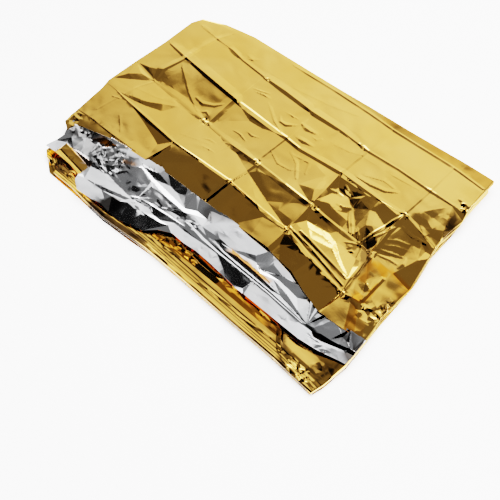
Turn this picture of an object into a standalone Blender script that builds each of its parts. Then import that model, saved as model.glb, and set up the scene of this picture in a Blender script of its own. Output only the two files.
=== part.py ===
"""Emergency foil blanket, folded up: one sheet of metallised film.

The sheet is folded in half across its width, gold side out, and the double layer is then folded
back and forth in four. That gives eight layers, a little apart, in one unbroken sheet.

The fold at the +X end halves the sheet. The far side is +Y, the near side is -Y. The blanket
rests on the underside of its lowest layer, at z = 0, and the origin is under its middle.
"""

import math

import bmesh
import bpy
import numpy as np

NODE_NAME = "foil_blanket"

# Layers, in metres.
FILM_THICKNESS = 0.001      # drawn thickness of the film
LAYER_STEP = 0.005          # height from one layer to the next
PANEL_COUNT = 4             # panels of the double layer, from the top one down
STACK_HEIGHT = FILM_THICKNESS + LAYER_STEP * (2 * PANEL_COUNT - 1)

HALF_GAP = LAYER_STEP / 2   # from the middle of a double layer to either of its layers
BEND_RADIUS = LAYER_STEP    # of the middle of the double layer, where it turns back
FOLD_REACH = BEND_RADIUS + HALF_GAP + FILM_THICKNESS / 2
PANEL_STEP = 2 * LAYER_STEP

# Steps of the mesh along each stretch.
TOP_PANEL_STEPS = 12
LOWER_PANEL_STEPS = 5
BEND_STEPS = 6
LENGTH_STEPS = 15

# Where the edges and folds lie, in metres of y, by share of the length from the -X end.
# Columns: share, top layer's cut edge, second layer's cut edge, upper far fold, near fold,
# lower far fold, lowest layers' ends.
EDGE_COLUMNS = ("share", "top_end", "second_end", "upper_far", "near", "lower_far", "low_end")
EDGE_TABLE = (
    (0.00, -0.262, -0.312, 0.150, -0.338, 0.135, -0.362),
    (0.04, -0.245, -0.318, 0.176, -0.345, 0.164, -0.364),
    (0.08, -0.230, -0.316, 0.192, -0.347, 0.180, -0.362),
    (0.17, -0.216, -0.308, 0.204, -0.346, 0.194, -0.358),
    (0.30, -0.202, -0.300, 0.214, -0.343, 0.207, -0.352),
    (0.47, -0.190, -0.294, 0.222, -0.340, 0.216, -0.348),
    (0.70, -0.186, -0.293, 0.230, -0.341, 0.226, -0.347),
    (0.85, -0.208, -0.292, 0.241, -0.346, 0.238, -0.348),
    (0.93, -0.212, -0.282, 0.247, -0.350, 0.244, -0.350),
    (1.00, -0.206, -0.268, 0.250, -0.346, 0.247, -0.346),
)

# How far the layers reach along X, by y, in metres.
REACH_COLUMNS = ("y", "left", "right")
REACH_TABLE = (
    (-0.350, -0.302, 0.420),
    (-0.320, -0.335, 0.428),
    (-0.265, -0.362, 0.444),
    (-0.205, -0.377, 0.432),
    (-0.114, -0.388, 0.424),
    (-0.055, -0.386, 0.428),
    (0.045, -0.380, 0.406),
    (0.128, -0.386, 0.408),
    (0.250, -0.388, 0.392),
)

# Fullness: the stack's height as a share of its plain height, along X and along Y.
FULLNESS_ALONG = ((-0.38, 0.92), (-0.15, 0.98), (0.12, 1.06), (0.32, 1.10), (0.43, 0.98))
FULLNESS_ACROSS = ((-0.35, 0.92), (-0.25, 1.02), (-0.05, 1.06), (0.15, 1.02), (0.25, 0.90))

# Main creases: where each lies at either end, and its rise above (or sink below) the cloth.
LONG_CREASES = (            # y at the -X end, y at the +X end, rise
    (0.122, 0.134, -0.0016),
    (0.040, 0.046, 0.0020),
    (-0.040, -0.046, -0.0018),
    (-0.124, -0.136, 0.0022),
    (-0.222, -0.214, 0.0012),
)
CROSS_CREASES = (           # x on the far side, x on the near side, rise
    (-0.318, -0.312, 0.0014),
    (-0.160, -0.155, -0.0018),
    (0.002, -0.002, 0.0020),
    (0.158, 0.154, -0.0014),
    (0.310, 0.326, 0.0024),
)
CREASE_REACH = 0.040        # distance over which a crease fades out

GOLD = (0.83, 0.58, 0.20, 1.0)


def clear_scene():
    """Remove whatever the scene holds."""
    for item in list(bpy.data.objects):
        bpy.data.objects.remove(item, do_unlink=True)


def column(table, columns, name):
    """One named column of a table."""
    return np.array([row[columns.index(name)] for row in table])


def edge_at(share, name):
    """The y of a named edge or fold at a share of the length."""
    shares = column(EDGE_TABLE, EDGE_COLUMNS, "share")
    return float(np.interp(share, shares, column(EDGE_TABLE, EDGE_COLUMNS, name)))


def blend(first, second, weight):
    """The value that lies at a weight from the first to the second."""
    return first + (second - first) * weight


def panel_height(index):
    """Height of the middle of a double layer, counted from the top panel."""
    return STACK_HEIGHT - FILM_THICKNESS / 2 - HALF_GAP - PANEL_STEP * index


def straight(start, finish, height, steps):
    """Points along a flat stretch, without its last one."""
    return [(blend(start, finish, step / steps), height) for step in range(steps)]


def half_turn(centre_y, centre_z, radius, side):
    """Points down a half circle that bulges to one side, +1 for far and -1 for near."""
    points = []
    for step in range(BEND_STEPS):
        angle = math.pi * step / BEND_STEPS
        points.append((centre_y + side * radius * math.sin(angle),
                       centre_z + radius * math.cos(angle)))
    return points


def section(share, offset):
    """One layer's line in the Y-Z plane: four panels joined by three half turns.

    The offset is the layer's distance from the middle of the double layer, upwards on the top
    panel. Each turn swaps the side that it lies on.
    """
    weight = 0.5 - offset / (2 * HALF_GAP)
    start = blend(edge_at(share, "top_end"), edge_at(share, "second_end"), weight)
    bends = ((edge_at(share, "upper_far"), 1), (edge_at(share, "near"), -1),
             (edge_at(share, "lower_far"), 1))
    points = []
    for index, (reach, side) in enumerate(bends):
        centre_y = reach - side * FOLD_REACH
        layer_z = panel_height(index) + side * offset
        steps = TOP_PANEL_STEPS if index == 0 else LOWER_PANEL_STEPS
        points += straight(start, centre_y, layer_z, steps)
        radius = BEND_RADIUS + side * offset
        points += half_turn(centre_y, panel_height(index) - BEND_RADIUS, radius, side)
        start = centre_y
    last_z = panel_height(PANEL_COUNT - 1) - side * offset
    points += straight(start, edge_at(share, "low_end"), last_z, LOWER_PANEL_STEPS)
    points.append((edge_at(share, "low_end"), last_z))
    return points


def length_stations():
    """Share of the length, offset and reach past the end, along one layer and back the other."""
    outward = [(step / LENGTH_STEPS, HALF_GAP, 0.0) for step in range(LENGTH_STEPS)]
    turn = []
    for step in range(BEND_STEPS + 1):
        angle = math.pi * step / BEND_STEPS
        turn.append((1.0, HALF_GAP * math.cos(angle), HALF_GAP * math.sin(angle)))
    inward = [(share, -offset, past) for share, offset, past in reversed(outward)]
    return outward + turn + inward


def crease_rise(x, y):
    """Rise of the cloth from its main creases, in metres."""
    left, right = REACH_TABLE[-1][1], REACH_TABLE[-1][2]
    near, far = REACH_TABLE[0][0], REACH_TABLE[-1][0]
    rise = 0.0
    for start, finish, height in LONG_CREASES:
        middle = blend(start, finish, (x - left) / (right - left))
        rise += height * max(0.0, 1.0 - abs(y - middle) / CREASE_REACH)
    for start, finish, height in CROSS_CREASES:
        middle = blend(start, finish, (far - y) / (far - near))
        rise += height * max(0.0, 1.0 - abs(x - middle) / CREASE_REACH)
    return rise


def place(share, past, y, height):
    """Lay a point of the plain stack at its real x, y and z.

    Heights are counted from the lowest layer, which stays flat, so every layer keeps its order.
    """
    rows = column(REACH_TABLE, REACH_COLUMNS, "y")
    left = np.interp(y, rows, column(REACH_TABLE, REACH_COLUMNS, "left"))
    right = np.interp(y, rows, column(REACH_TABLE, REACH_COLUMNS, "right"))
    x = blend(left, right - HALF_GAP - FILM_THICKNESS / 2, share) + past
    along = np.interp(x, *zip(*FULLNESS_ALONG))
    across = np.interp(y, *zip(*FULLNESS_ACROSS))
    fullness = along * across + crease_rise(x, y) / STACK_HEIGHT
    lowest = FILM_THICKNESS / 2
    return (float(x), y, float(lowest + (height - lowest) * fullness))


def foil_sheet():
    """The middle surface of the film, as a grid of four-sided faces."""
    lines = []
    for share, offset, past in length_stations():
        lines.append([place(share, past, y, z) for y, z in section(share, offset)])
    mesh = bpy.data.meshes.new(NODE_NAME)
    shape = bmesh.new()
    grid = [[shape.verts.new(point) for point in line] for line in lines]
    for here, beyond in zip(grid, grid[1:]):
        for index in range(len(here) - 1):
            shape.faces.new((here[index], beyond[index], beyond[index + 1], here[index + 1]))
    bmesh.ops.recalc_face_normals(shape, faces=shape.faces)
    shape.to_mesh(mesh)
    shape.free()
    return mesh


def centre_on_origin(mesh):
    """Move the sheet so that the middle of its outline is over the origin."""
    points = np.array([vertex.co for vertex in mesh.vertices])
    middle = (points.min(axis=0) + points.max(axis=0)) / 2
    for vertex in mesh.vertices:
        vertex.co.x -= middle[0]
        vertex.co.y -= middle[1]


def gold_film():
    """Bright gold metallised film."""
    material = bpy.data.materials.new("gold_film")
    material.use_nodes = True
    shader = material.node_tree.nodes["Principled BSDF"]
    shader.inputs["Base Color"].default_value = GOLD
    shader.inputs["Metallic"].default_value = 1.0
    shader.inputs["Roughness"].default_value = 0.12
    return material


def build_blanket():
    """The folded blanket: the sheet, thickened into one closed solid."""
    mesh = foil_sheet()
    centre_on_origin(mesh)
    mesh.materials.append(gold_film())
    blanket = bpy.data.objects.new(NODE_NAME, mesh)
    film = blanket.modifiers.new("film", "SOLIDIFY")
    film.thickness = FILM_THICKNESS
    film.offset = 0.0
    collection = bpy.data.collections.new("folded_foil_blanket")
    bpy.context.scene.collection.children.link(collection)
    collection.objects.link(blanket)
    return blanket


clear_scene()
build_blanket()
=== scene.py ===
# %% [markdown]
# # An emergency foil blanket, folded up
#
# An emergency blanket is one big sheet of plastic film, thinner than a hair, with metal on it:
# gold on one side and silver on the other. It is sold folded, so it always carries a net of sharp
# creases. Here it is folded in half with the gold outside, and the double layer is then folded
# back and forth in four.
#
# We could drape it with a cloth simulation, but film this stiff keeps its old folds, and a
# simulation would invent others. So the sheet is a surface with a formula: two numbers, one along
# the sheet and one across it, give each point its place, and tables say where the creases run.

import bpy
import numpy as np
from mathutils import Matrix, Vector, geometry


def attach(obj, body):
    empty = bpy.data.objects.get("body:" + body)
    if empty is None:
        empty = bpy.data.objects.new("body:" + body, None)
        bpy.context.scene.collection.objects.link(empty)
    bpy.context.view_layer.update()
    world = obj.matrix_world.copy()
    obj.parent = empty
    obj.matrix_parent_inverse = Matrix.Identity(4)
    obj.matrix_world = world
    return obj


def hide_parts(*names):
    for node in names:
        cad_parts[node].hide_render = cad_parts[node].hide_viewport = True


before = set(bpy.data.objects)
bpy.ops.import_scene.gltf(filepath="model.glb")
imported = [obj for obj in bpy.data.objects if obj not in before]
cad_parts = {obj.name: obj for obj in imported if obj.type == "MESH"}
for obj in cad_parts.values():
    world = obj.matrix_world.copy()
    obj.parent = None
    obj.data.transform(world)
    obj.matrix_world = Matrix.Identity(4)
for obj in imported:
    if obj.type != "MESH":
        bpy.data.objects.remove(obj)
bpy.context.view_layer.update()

# %% [markdown]
# ## The plan of the creases
#
# Seen from above, the film is ruled by two families of lines. Lengthwise creases run along X, and
# the first and last of them are the cut edge and the far fold. Cross creases run along Y, and the
# first and last of them are the two ends. Each line is a few listed points, in millimetres, and
# `np.interp` joins them. Creases of a hand-folded sheet are never quite straight or parallel,
# and that unevenness is what makes it look real.

# %% Lengthwise creases, from the near side to the far side
MM = 0.001

LENGTHWISE = {              # each line is (x, y) points, in millimetres
    "gold_cut_edge": (
        (-400, -215), (-385, -206), (-360, -184), (-285, -161), (-195, -149), (-135, -139),
        (-20, -133), (140, -129), (205, -135), (250, -150), (300, -162), (350, -158), (395, -149),
        (420, -150)),
    "crease_4": (
        (-410, -64), (-340, -69), (-185, -78), (-26, -68), (138, -74), (220, -90), (307, -105),
        (340, -98), (420, -96)),
    "crease_3": (
        (-410, 22), (-342, 13), (-262, 14), (-176, 9), (-95, 3), (-20, 5), (131, 2), (210, 5),
        (288, 5), (392, -4)),
    "crease_2": (
        (-410, 114), (-342, 106), (-262, 101), (-176, 96), (-95, 95), (-22, 94), (20, 92),
        (121, 105), (222, 108), (280, 116), (367, 103)),
    "crease_1": (
        (-410, 204), (-340, 198), (-285, 197), (-245, 191), (-178, 188), (-113, 189), (-26, 186),
        (48, 190), (122, 188), (200, 195), (279, 197), (334, 201), (372, 190)),
    "crease_0": (
        (-410, 218), (-360, 236), (-212, 256), (-137, 261), (-29, 268), (58, 271), (120, 271),
        (190, 275), (266, 280), (351, 280)),
    "far_fold": (
        (-418, 219), (-395, 229), (-354, 249), (-279, 266), (-169, 273), (-32, 281), (46, 287),
        (150, 294), (248, 303), (345, 313), (360, 314)),
}
print("lengthwise lines:", list(LENGTHWISE))

# %% Cross creases, from the left end to the right end
CROSSWISE = {               # each line is (y, x) points, in millimetres
    "left_end": (
        (-312, -312), (-270, -374), (-262, -374), (-223, -369), (-208, -377), (-198, -396),
        (-158, -400), (-82, -409), (-57, -416), (23, -415), (107, -411), (192, -414), (216, -406),
        (306, -400)),
    "crease_a": (
        (-300, -330), (-150, -372), (-80, -364), (-20, -353), (11, -342), (47, -352), (80, -344),
        (107, -338), (148, -339), (193, -334), (240, -318), (306, -310)),
    "crease_b": (
        (-300, -196), (-150, -192), (-78, -183), (5, -180), (12, -171), (55, -174), (96, -176),
        (184, -178), (260, -137), (306, -130)),
    "crease_c": (
        (-300, -32), (-136, -33), (-68, -26), (-42, -24), (-5, -20), (17, -24), (94, -21),
        (139, -24), (184, -26), (306, -29)),
    "crease_d": (
        (-300, 150), (-124, 146), (-74, 138), (1, 132), (51, 128), (105, 121), (184, 122),
        (194, 128), (265, 123), (306, 119)),
    "crease_e": (
        (-300, 296), (-162, 299), (-104, 307), (-46, 297), (5, 288), (62, 281), (112, 278),
        (189, 280), (275, 277), (306, 276)),
    "right_fold": (
        (-300, 393), (-260, 402), (-205, 407), (-150, 402), (-118, 398), (-83, 391), (-56, 391),
        (3, 391), (57, 379), (107, 368), (149, 366), (188, 370), (230, 360), (306, 356)),
}
print("crosswise lines:", list(CROSSWISE))


# %% Read a line, or a family of lines
def line_at(points, place):
    """Where a given line runs at each place along it: points joined by straight lines."""
    table = np.array([point[:2] for point in points], float) * MM
    return np.interp(place, table[:, 0], table[:, 1])


def lines_at(family, place):
    """Where each line of a family runs at each place, one line after another."""
    return np.stack([line_at(points, place) for points in family])


def between_lines(family, number, place):
    """Where a fractional line of a family runs: 2.5 is midway from line 2 to line 3."""
    values = lines_at(family, place)
    lower = np.clip(np.floor(number).astype(int), 0, len(values) - 2)
    first = np.take_along_axis(values, lower[None], 0)[0]
    second = np.take_along_axis(values, lower[None] + 1, 0)[0]
    return first + (second - first) * (number - lower)


def number_between(values, target):
    """Where a target lies in a family of rising values: 2.5 is midway from value 2 to value 3."""
    number = np.zeros_like(target)
    for first, second in zip(values, values[1:]):
        number += np.clip((target - first) / (second - first), 0.0, 1.0)
    return number


LENGTHWISE_LINES = list(LENGTHWISE.values())
CROSSWISE_LINES = list(CROSSWISE.values())
LAST_LINE = len(CROSSWISE_LINES) - 1
print("the cut edge and the far fold at x = 0, m:",
      lines_at(LENGTHWISE_LINES, 0.0)[[0, -1]].round(3))

# %% [markdown]
# ## The stack
#
# The pack is eight layers high. Going down from the top they are the two layers of each of the
# four panels. A *level* counts them from 0, the lowest, to 7, the top, and a fold is a run of
# levels in between, so one number says how deep in the stack a point lies.

# %% Levels of the stack
LAYER_STEP = 0.005          # from one layer to the next
HALF_GAP = LAYER_STEP / 2   # from the middle of a double layer to either of its layers
BEND_RADIUS = LAYER_STEP    # of the middle of the double layer, where it turns back
FIRST_HEIGHT = 0.0005       # of the lowest layer
TOP_LEVEL = 7
print("stack:", TOP_LEVEL + 1, "layers,", (FIRST_HEIGHT + TOP_LEVEL * LAYER_STEP) / MM, "mm high")

# %% Edges and folds below the top layer, as (x, y) points in millimetres
SECOND_END = (
    (-420, -268), (-372, -268), (-348, -264), (-300, -264), (-268, -268), (-262, -282),
    (-238, -296), (-200, -291), (-180, -284), (-155, -285), (-130, -286), (-100, -275), (-74, -268),
    (-50, -247), (-22, -233), (10, -233), (40, -229), (110, -229), (175, -232), (240, -230),
    (310, -228), (350, -221), (395, -207), (425, -200))
NEAR_FOLD = (
    (-420, -283), (-350, -283), (-318, -298), (-265, -296), (-217, -299), (-163, -300.5),
    (-123, -297), (-87, -293), (-43, -289.5), (35, -288), (190, -287.5), (300, -286), (360, -288),
    (425, -289))
LOWER_FAR_FOLD = (
    (-418, 208), (-350, 228), (-170, 260), (-30, 268), (160, 280), (280, 292), (360, 302))
LOW_END = (
    (-420, -298), (-330, -298), (-240, -297), (-160, -299), (-85, -293), (-20, -285), (60, -277),
    (130, -271), (425, -271))
print("the near fold at x = 0, m:", line_at(NEAR_FOLD, 0.0))


# %% Fullness: the height of the stack as a share of its plain height
def share_at(points, value):
    """A share that varies along a line: the first column is in millimetres."""
    table = np.array(points, float)
    return np.interp(value, table[:, 0] * MM, table[:, 1])


FULLNESS_ALONG = ((-407, 0.92), (-177, 0.98), (93, 1.06), (293, 1.1), (403, 0.98))
FULLNESS_ACROSS = (
    (-293, 0.75), (-270, 0.82), (-240, 0.89), (-210, 0.95), (-170, 1.0), (-130, 1.01), (7, 1.02),
    (207, 1.01), (307, 0.92))
print("fullness in the middle:", share_at(FULLNESS_ALONG, 0.0) * share_at(FULLNESS_ACROSS, 0.0))

# %% Broad heights of the crease net
NET_HEIGHTS = (             # mm, at the left end, the five cross creases and the right fold
    (0, 0, 0, 0, 0, 0, 0),              # near fold
    (0, 0, 0, 0, 0, 0, 0),              # gold cut edge
    (0, 0, 0, 0, 0, 0, 0),              # crease 4
    (0, 0, 0, 0, 0, 0, 0),              # crease 3
    (1, 4, 2.4, 2.2, 2, 0, -3),         # crease 2
    (0, 0, 0, 0, 0, 1, 0),              # crease 1
    (-1, -1, -1, -1, -2, -2, -3),       # crease 0
    (-3, -2, -2, -0.5, 1.2, 1.4, 0.4),  # far fold
)


def broad_height(x, y):
    """Height of the crease net over its plain stack, read between its lines both ways.

    In a cell of the net the height is near * (1 - up) + far * up, where near and far are read the
    same way between the two cross creases.
    """
    table = np.array(NET_HEIGHTS, float) * MM
    along = number_between(lines_at(CROSSWISE_LINES, y), x)
    across = number_between(lines_at([NEAR_FOLD] + LENGTHWISE_LINES, x), y)
    row_index = np.clip(across.astype(int), 0, table.shape[0] - 2)
    column_index = np.clip(along.astype(int), 0, table.shape[1] - 2)
    up, right = across - row_index, along - column_index
    near = table[row_index, column_index] * (1 - right) + table[row_index, column_index + 1] * right
    far = (table[row_index + 1, column_index] * (1 - right)
           + table[row_index + 1, column_index + 1] * right)
    return near * (1 - up) + far * up


print("broad height at x = -0.3, y = 0.1, m:", broad_height(np.array([-0.3]), np.array([0.1])))

# %% [markdown]
# ## Relief
#
# What we see on film is its relief: each facet mirrors one part of the room. A bump texture would
# be quicker, but it leaves the outline straight and casts no shadow, so the relief is real height.
# Three shapes make it. A *row* is a soft trough or ridge along a line. A *net* joins given
# heights with flat triangles, as facets of a bent sheet do. A *crumple* is a net with scattered
# heights.

# %% Rows: troughs and ridges along a line
def row(x, y, path):
    """Height of a ridge or trough along a path.

    Each station of the path is (x, y, rise, right width, left width) in millimetres. Across the
    path the height falls from its rise to nothing in a straight line, over one width on either
    side, and along the path the rise and the widths change evenly.
    """
    stations = np.array(path, float) * MM
    height = np.zeros_like(x)
    for start, finish in zip(stations, stations[1:]):
        along = finish[:2] - start[:2]
        length = np.hypot(*along)
        along = along / length
        reach = max(start[3:].max(), finish[3:].max())
        low = np.minimum(start[:2], finish[:2]) - reach
        high = np.maximum(start[:2], finish[:2]) + reach
        near = np.nonzero((x > low[0]) & (x < high[0]) & (y > low[1]) & (y < high[1]))
        away_x, away_y = x[near] - start[0], y[near] - start[1]
        run = away_x * along[0] + away_y * along[1]
        side = along[0] * away_y - along[1] * away_x
        past = np.maximum(np.maximum(-run, run - length), 0.0)
        share = np.clip(run / length, 0.0, 1.0)
        rise, right, left = (start[2:] + (finish - start)[2:] * share[:, None]).T
        distance = np.hypot(side, past) / np.where(side > 0, left, right)
        piece = rise * np.clip(1.0 - distance, 0.0, 1.0)
        stronger = np.abs(piece) > np.abs(height[near])
        height[near] = np.where(stronger, piece, height[near])
    return height


def rows(x, y, paths):
    """Sum of several rows."""
    return sum(row(x, y, path) for path in paths)


print("a ridge 1 mm high and 4 mm wide, 1 mm from its crest, m:",
      row(np.array([0.0]), np.array([0.001]), ((-9, 0, 1, 4, 4), (9, 0, 1, 4, 4))))


# %% Nets: flat facets between hand-placed heights
MERGE = 1e-7                # metres within which two points of a net are one
SLIVER = 1e-12              # square metres below which a triangle is left out
OVERLAP = 1e-9              # share by which neighbouring triangles overlap


def crossing_height(place, table, edges):
    """Height where two creases cross: on the crease that passes nearest to the place."""
    best = (np.inf, 0.0)
    for first, second in edges:
        start, finish = table[first], table[second]
        along = finish[:2] - start[:2]
        share = np.dot(place - Vector(start[:2]), Vector(along)) / np.dot(along, along)
        share = np.clip(share, 0, 1)
        gap = np.hypot(*(start[:2] + along * share - np.array(place)))
        best = min(best, (gap, start[2] + (finish[2] - start[2]) * share))
    return best[1]


def net(x, y, points, chains=(), outside=0.0):
    """Height of flat triangles hung on points (x, y, height), in millimetres.

    The points are joined by a Delaunay triangulation that keeps the chains as creases. Inside a
    triangle the height is the plane through its three corners: the sum of the corners' heights,
    each times the share of the triangle that lies opposite it.
    """
    table = np.array(points, float) * MM
    edges = [pair for chain in chains for pair in zip(chain, chain[1:])]
    corners = [Vector(point[:2]) for point in table]
    made, _, faces, origin, _, _ = geometry.delaunay_2d_cdt(corners, edges, [], 0, MERGE)
    heights = [table[source[0], 2] if source else crossing_height(place, table, edges)
               for place, source in zip(made, origin)]
    height = np.full_like(x, outside)
    for face in faces:
        (ax, ay), (bx, by), (cx, cy) = (made[index] for index in face)
        za, zb, zc = (heights[index] for index in face)
        area = (bx - ax) * (cy - ay) - (cx - ax) * (by - ay)
        if abs(area) < SLIVER:
            continue
        near = np.nonzero((x >= min(ax, bx, cx)) & (x <= max(ax, bx, cx))
                          & (y >= min(ay, by, cy)) & (y <= max(ay, by, cy)))
        px, py = x[near], y[near]
        wb = ((px - ax) * (cy - ay) - (cx - ax) * (py - ay)) / area
        wc = ((bx - ax) * (py - ay) - (px - ax) * (by - ay)) / area
        wa = 1.0 - wb - wc
        inside = (wa >= -OVERLAP) & (wb >= -OVERLAP) & (wc >= -OVERLAP)
        height[near] = np.where(inside, za * wa + zb * wb + zc * wc, height[near])
    return height


def folded(x, y, folds):
    """Height of flat facets between folds, each a chain of (x, y, height), in millimetres."""
    points, chains = [], []
    for fold in folds.values():
        chains.append(range(len(points), len(points) + len(fold)))
        points += fold
    return net(x, y, points, chains, outside=np.nan)


print("a tent 3 mm high, a third of the way up, m:",
      net(np.array([0.0]), np.array([0.002]), ((-9, 0, 0), (9, 0, 0), (0, 6, 3))))


# %% Crumples: nets with scattered heights
JITTER = 0.8                # how far a point strays, as a share of half the spacing
RIM_SLOPE = 2.5             # a patch dies away over the outer 1 / 2.5 of its radius


def crumple(x, y, centre, size, spacing, rise, seed):
    """Crumpled film in an oval patch: scattered points with scattered heights, in millimetres.

    A grid of points is jittered and lifted by up to the rise either way, with nothing at the rim
    of the patch.
    """
    chance = np.random.default_rng(seed)
    half = np.array(size, float) / 2
    count = np.maximum((size / np.array(spacing, float)).astype(int), 2)
    across, along = np.meshgrid(np.linspace(-1, 1, count[0] + 1), np.linspace(-1, 1, count[1] + 1))
    across = across + chance.uniform(-JITTER, JITTER, across.shape) / count[0]
    along = along + chance.uniform(-JITTER, JITTER, along.shape) / count[1]
    fade = np.clip((1.0 - np.hypot(across, along)) * RIM_SLOPE, 0.0, 1.0)
    lift = chance.uniform(-1, 1, across.shape) * rise * fade
    points = np.stack([centre[0] + across * half[0], centre[1] + along * half[1], lift], -1)
    return net(x, y, points.reshape(-1, 3))


def crumples(x, y, knots, first_seed):
    """Sum of crumples (centre x, centre y, length, width, spacing, rise), in millimetres.

    Each has a seed of its own, counted up from the first.
    """
    height = np.zeros_like(x)
    for seed, (middle_x, middle_y, length, width, spacing, rise) in enumerate(knots, first_seed):
        height += crumple(x, y, (middle_x, middle_y), (length, width), spacing, rise, seed)
    return height


print("middle of a knot with a rise of 2 mm, m:",
      crumple(np.zeros(1), np.zeros(1), (0, 0), (20, 20), 5, 2.0, 0))

# %% [markdown]
# ## The top layer
#
# The gold panel on top shows the machine folds of the pack as a net of ridges, some 1 to 2 mm
# high. We could push vertices about in sculpt mode, but a table can be read and put right. Each
# crease follows a line of the plan, and its stations say how high and how wide it is there. Between
# the creases lie small marks, flat facets and the crumpled knots where creases cross.

# %% Rows along the lines of the plan
def along_line(name, stations):
    """A row that follows a plan line: each station is (place, rise, width, width), in millimetres.

    On a lengthwise line the place is x, and the widths are on the near and the far side. On a
    crosswise one the place is y, and the widths are on the right and the left side.
    """
    lengthwise = name in LENGTHWISE
    line = np.array(LENGTHWISE[name] if lengthwise else CROSSWISE[name], float)
    table = np.array(sorted(stations), float)
    inner = line[(line[:, 0] > table[0, 0]) & (line[:, 0] < table[-1, 0]), 0]
    place = np.union1d(inner, table[:, 0])
    across = np.interp(place, line[:, 0], line[:, 1])
    columns = [np.interp(place, table[:, 0], table[:, column]) for column in (1, 2, 3)]
    first, second = (place, across) if lengthwise else (across, place)
    return np.stack([first, second] + columns, -1)


print("points of crease e:", len(along_line("crease_e", ((-96, 1, 4, 4), (273, 1, 4, 4)))))

# %% Lengthwise creases of the top layer
CREASE_STATIONS = {
    "crease_1": (
        (-385, 0.4, 3, 8), (-336, 0.6, 3, 14), (-296, 0.6, 3, 14), (-284, 1.5, 7, 10),
        (-266, 1.7, 8, 10), (-252, 0.8, 4, 8), (-186, 0.9, 4, 10), (-160, 1.5, 6, 16),
        (-112, 2.2, 9, 18), (-52, 2.2, 8, 18), (-34, 1.6, 6, 10), (-26, 2.4, 9, 16),
        (20, 2.2, 8, 16), (84, 1.1, 4, 12), (98, 1.1, 4, 8), (110, 1.8, 7, 6), (124, 0.9, 5, 4),
        (200, 0.8, 5, 4), (263, 0.9, 5, 4), (279, 1.3, 6, 5), (334, 0.8, 3, 6)),
    "crease_2": (
        (-397, 0.5, 3, 12), (-370, 1.1, 5, 18), (-319, 1.4, 6, 20), (-271, 1.9, 8, 22),
        (-180, 1.9, 8, 20), (-159, 1.6, 8, 5), (-93, 1.6, 7, 5), (-40, 1.6, 7, 5), (16, 1.5, 7, 5),
        (26, 1.4, 7, 10), (70, 1.6, 7, 12), (126, 1.8, 8, 12), (171, 1.7, 8, 12), (222, 0.7, 3, 8),
        (279, 0.6, 4, 6), (300, 0.5, 4, 6), (367, 0.4, 4, 5)),
    "crease_3": (
        (-407, 0.4, 2, 3), (-340, 0.5, 3, 3), (-326, 0.9, 5, 10), (-261, 1.6, 9, 14),
        (-210, 1.7, 10, 12), (-184, 1.2, 6, 4), (-160, 0.7, 4, 8), (-128, 0.7, 4, 10),
        (-93, 1.7, 10, 14), (-55, 1.8, 11, 12), (-19, 1.3, 10, 5), (75, 1.2, 10, 4.4),
        (151, 1.3, 9, 5), (206, 1.3, 9, 5), (247, 1.0, 6, 4), (286, 0.8, 4, 3)),
    "crease_4": (
        (-375, 0.4, 2, 3), (-332, 0.6, 4, 4), (-267, 0.8, 6, 8), (-192, 0.8, 5, 6),
        (-160, 0.8, 4, 2.4), (-120, 1.0, 4, 3), (-84, 1.2, 4, 3.4), (-40, 1.1, 4, 3.2),
        (-26, 0.8, 4, 4), (34, 1.0, 6, 4), (91, 1.0, 6, 4), (138, 0.9, 5, 5), (193, 1.2, 6, 3.4),
        (255, 1.2, 6, 3.4), (308, 0.8, 5, 4)),
    "crease_0": (
        (-152, 0.4, 3, 8), (-110, 0.8, 4, 8), (58, 0.9, 4, 6), (113, 1.0, 4, 4), (121, 1.2, 5, 3.6),
        (266, 1.1, 5, 3.4), (304, 1.0, 4, 5), (350, 0.8, 3, 5)),
}
print("lengthwise creases:", len(CREASE_STATIONS))

# %% Cross creases of the top layer
CREASE_STATIONS |= {
    "crease_a": (
        (230, 0.4, 3, 10), (186, 1.3, 5, 14), (148, 1.2, 5, 14), (107, 1.0, 4, 10),
        (79, 1.2, 5, 12), (47, 1.5, 7, 14), (11, 0.6, 4, 5), (-20, 0.4, 4, 4), (-129, 0.2, 4, 4)),
    "crease_b": (
        (182, 0.3, 2, 10), (110, 0.3, 2, 10), (92, 1.6, 8, 18), (55, 2.0, 10, 18), (12, 1.8, 8, 10),
        (5, 0.4, 4, 8), (-76, 0.3, 4, 6)),
    "crease_c": (
        (240, 0.1, 2, 8), (168, 0.3, 2, 8), (139, 1.1, 5, 10), (98, 0.9, 4, 10), (17, 0.8, 4, 8),
        (-5, 1.2, 6, 14), (-42, 1.3, 6, 14), (-68, 0.9, 5, 10), (-80, 1.2, 5, 6),
        (-130, 1.3, 6, 8)),
    "crease_d": (
        (265, 0.3, 2, 8), (194, 0.5, 3, 8), (182, 1.1, 5, 10), (120, 1.1, 5, 10), (106, 1.2, 5, 6),
        (51, 1.6, 8, 8), (-34, 1.5, 7, 5), (-71, 1.0, 5, 5)),
    "crease_e": (
        (273, 0.6, 3, 8), (201, 0.9, 4, 8), (189, 0.5, 3, 8), (119, 0.7, 4, 8), (112, 1.8, 8, 4),
        (62, 2.2, 8, 4.6), (7, 1.8, 8, 4), (-20, 0.8, 6, 4), (-96, 0.8, 6, 4)),
}
TOP_CREASES = [along_line(name, stations) for name, stations in CREASE_STATIONS.items()]
print("top layer:", len(TOP_CREASES), "creases")

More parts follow.
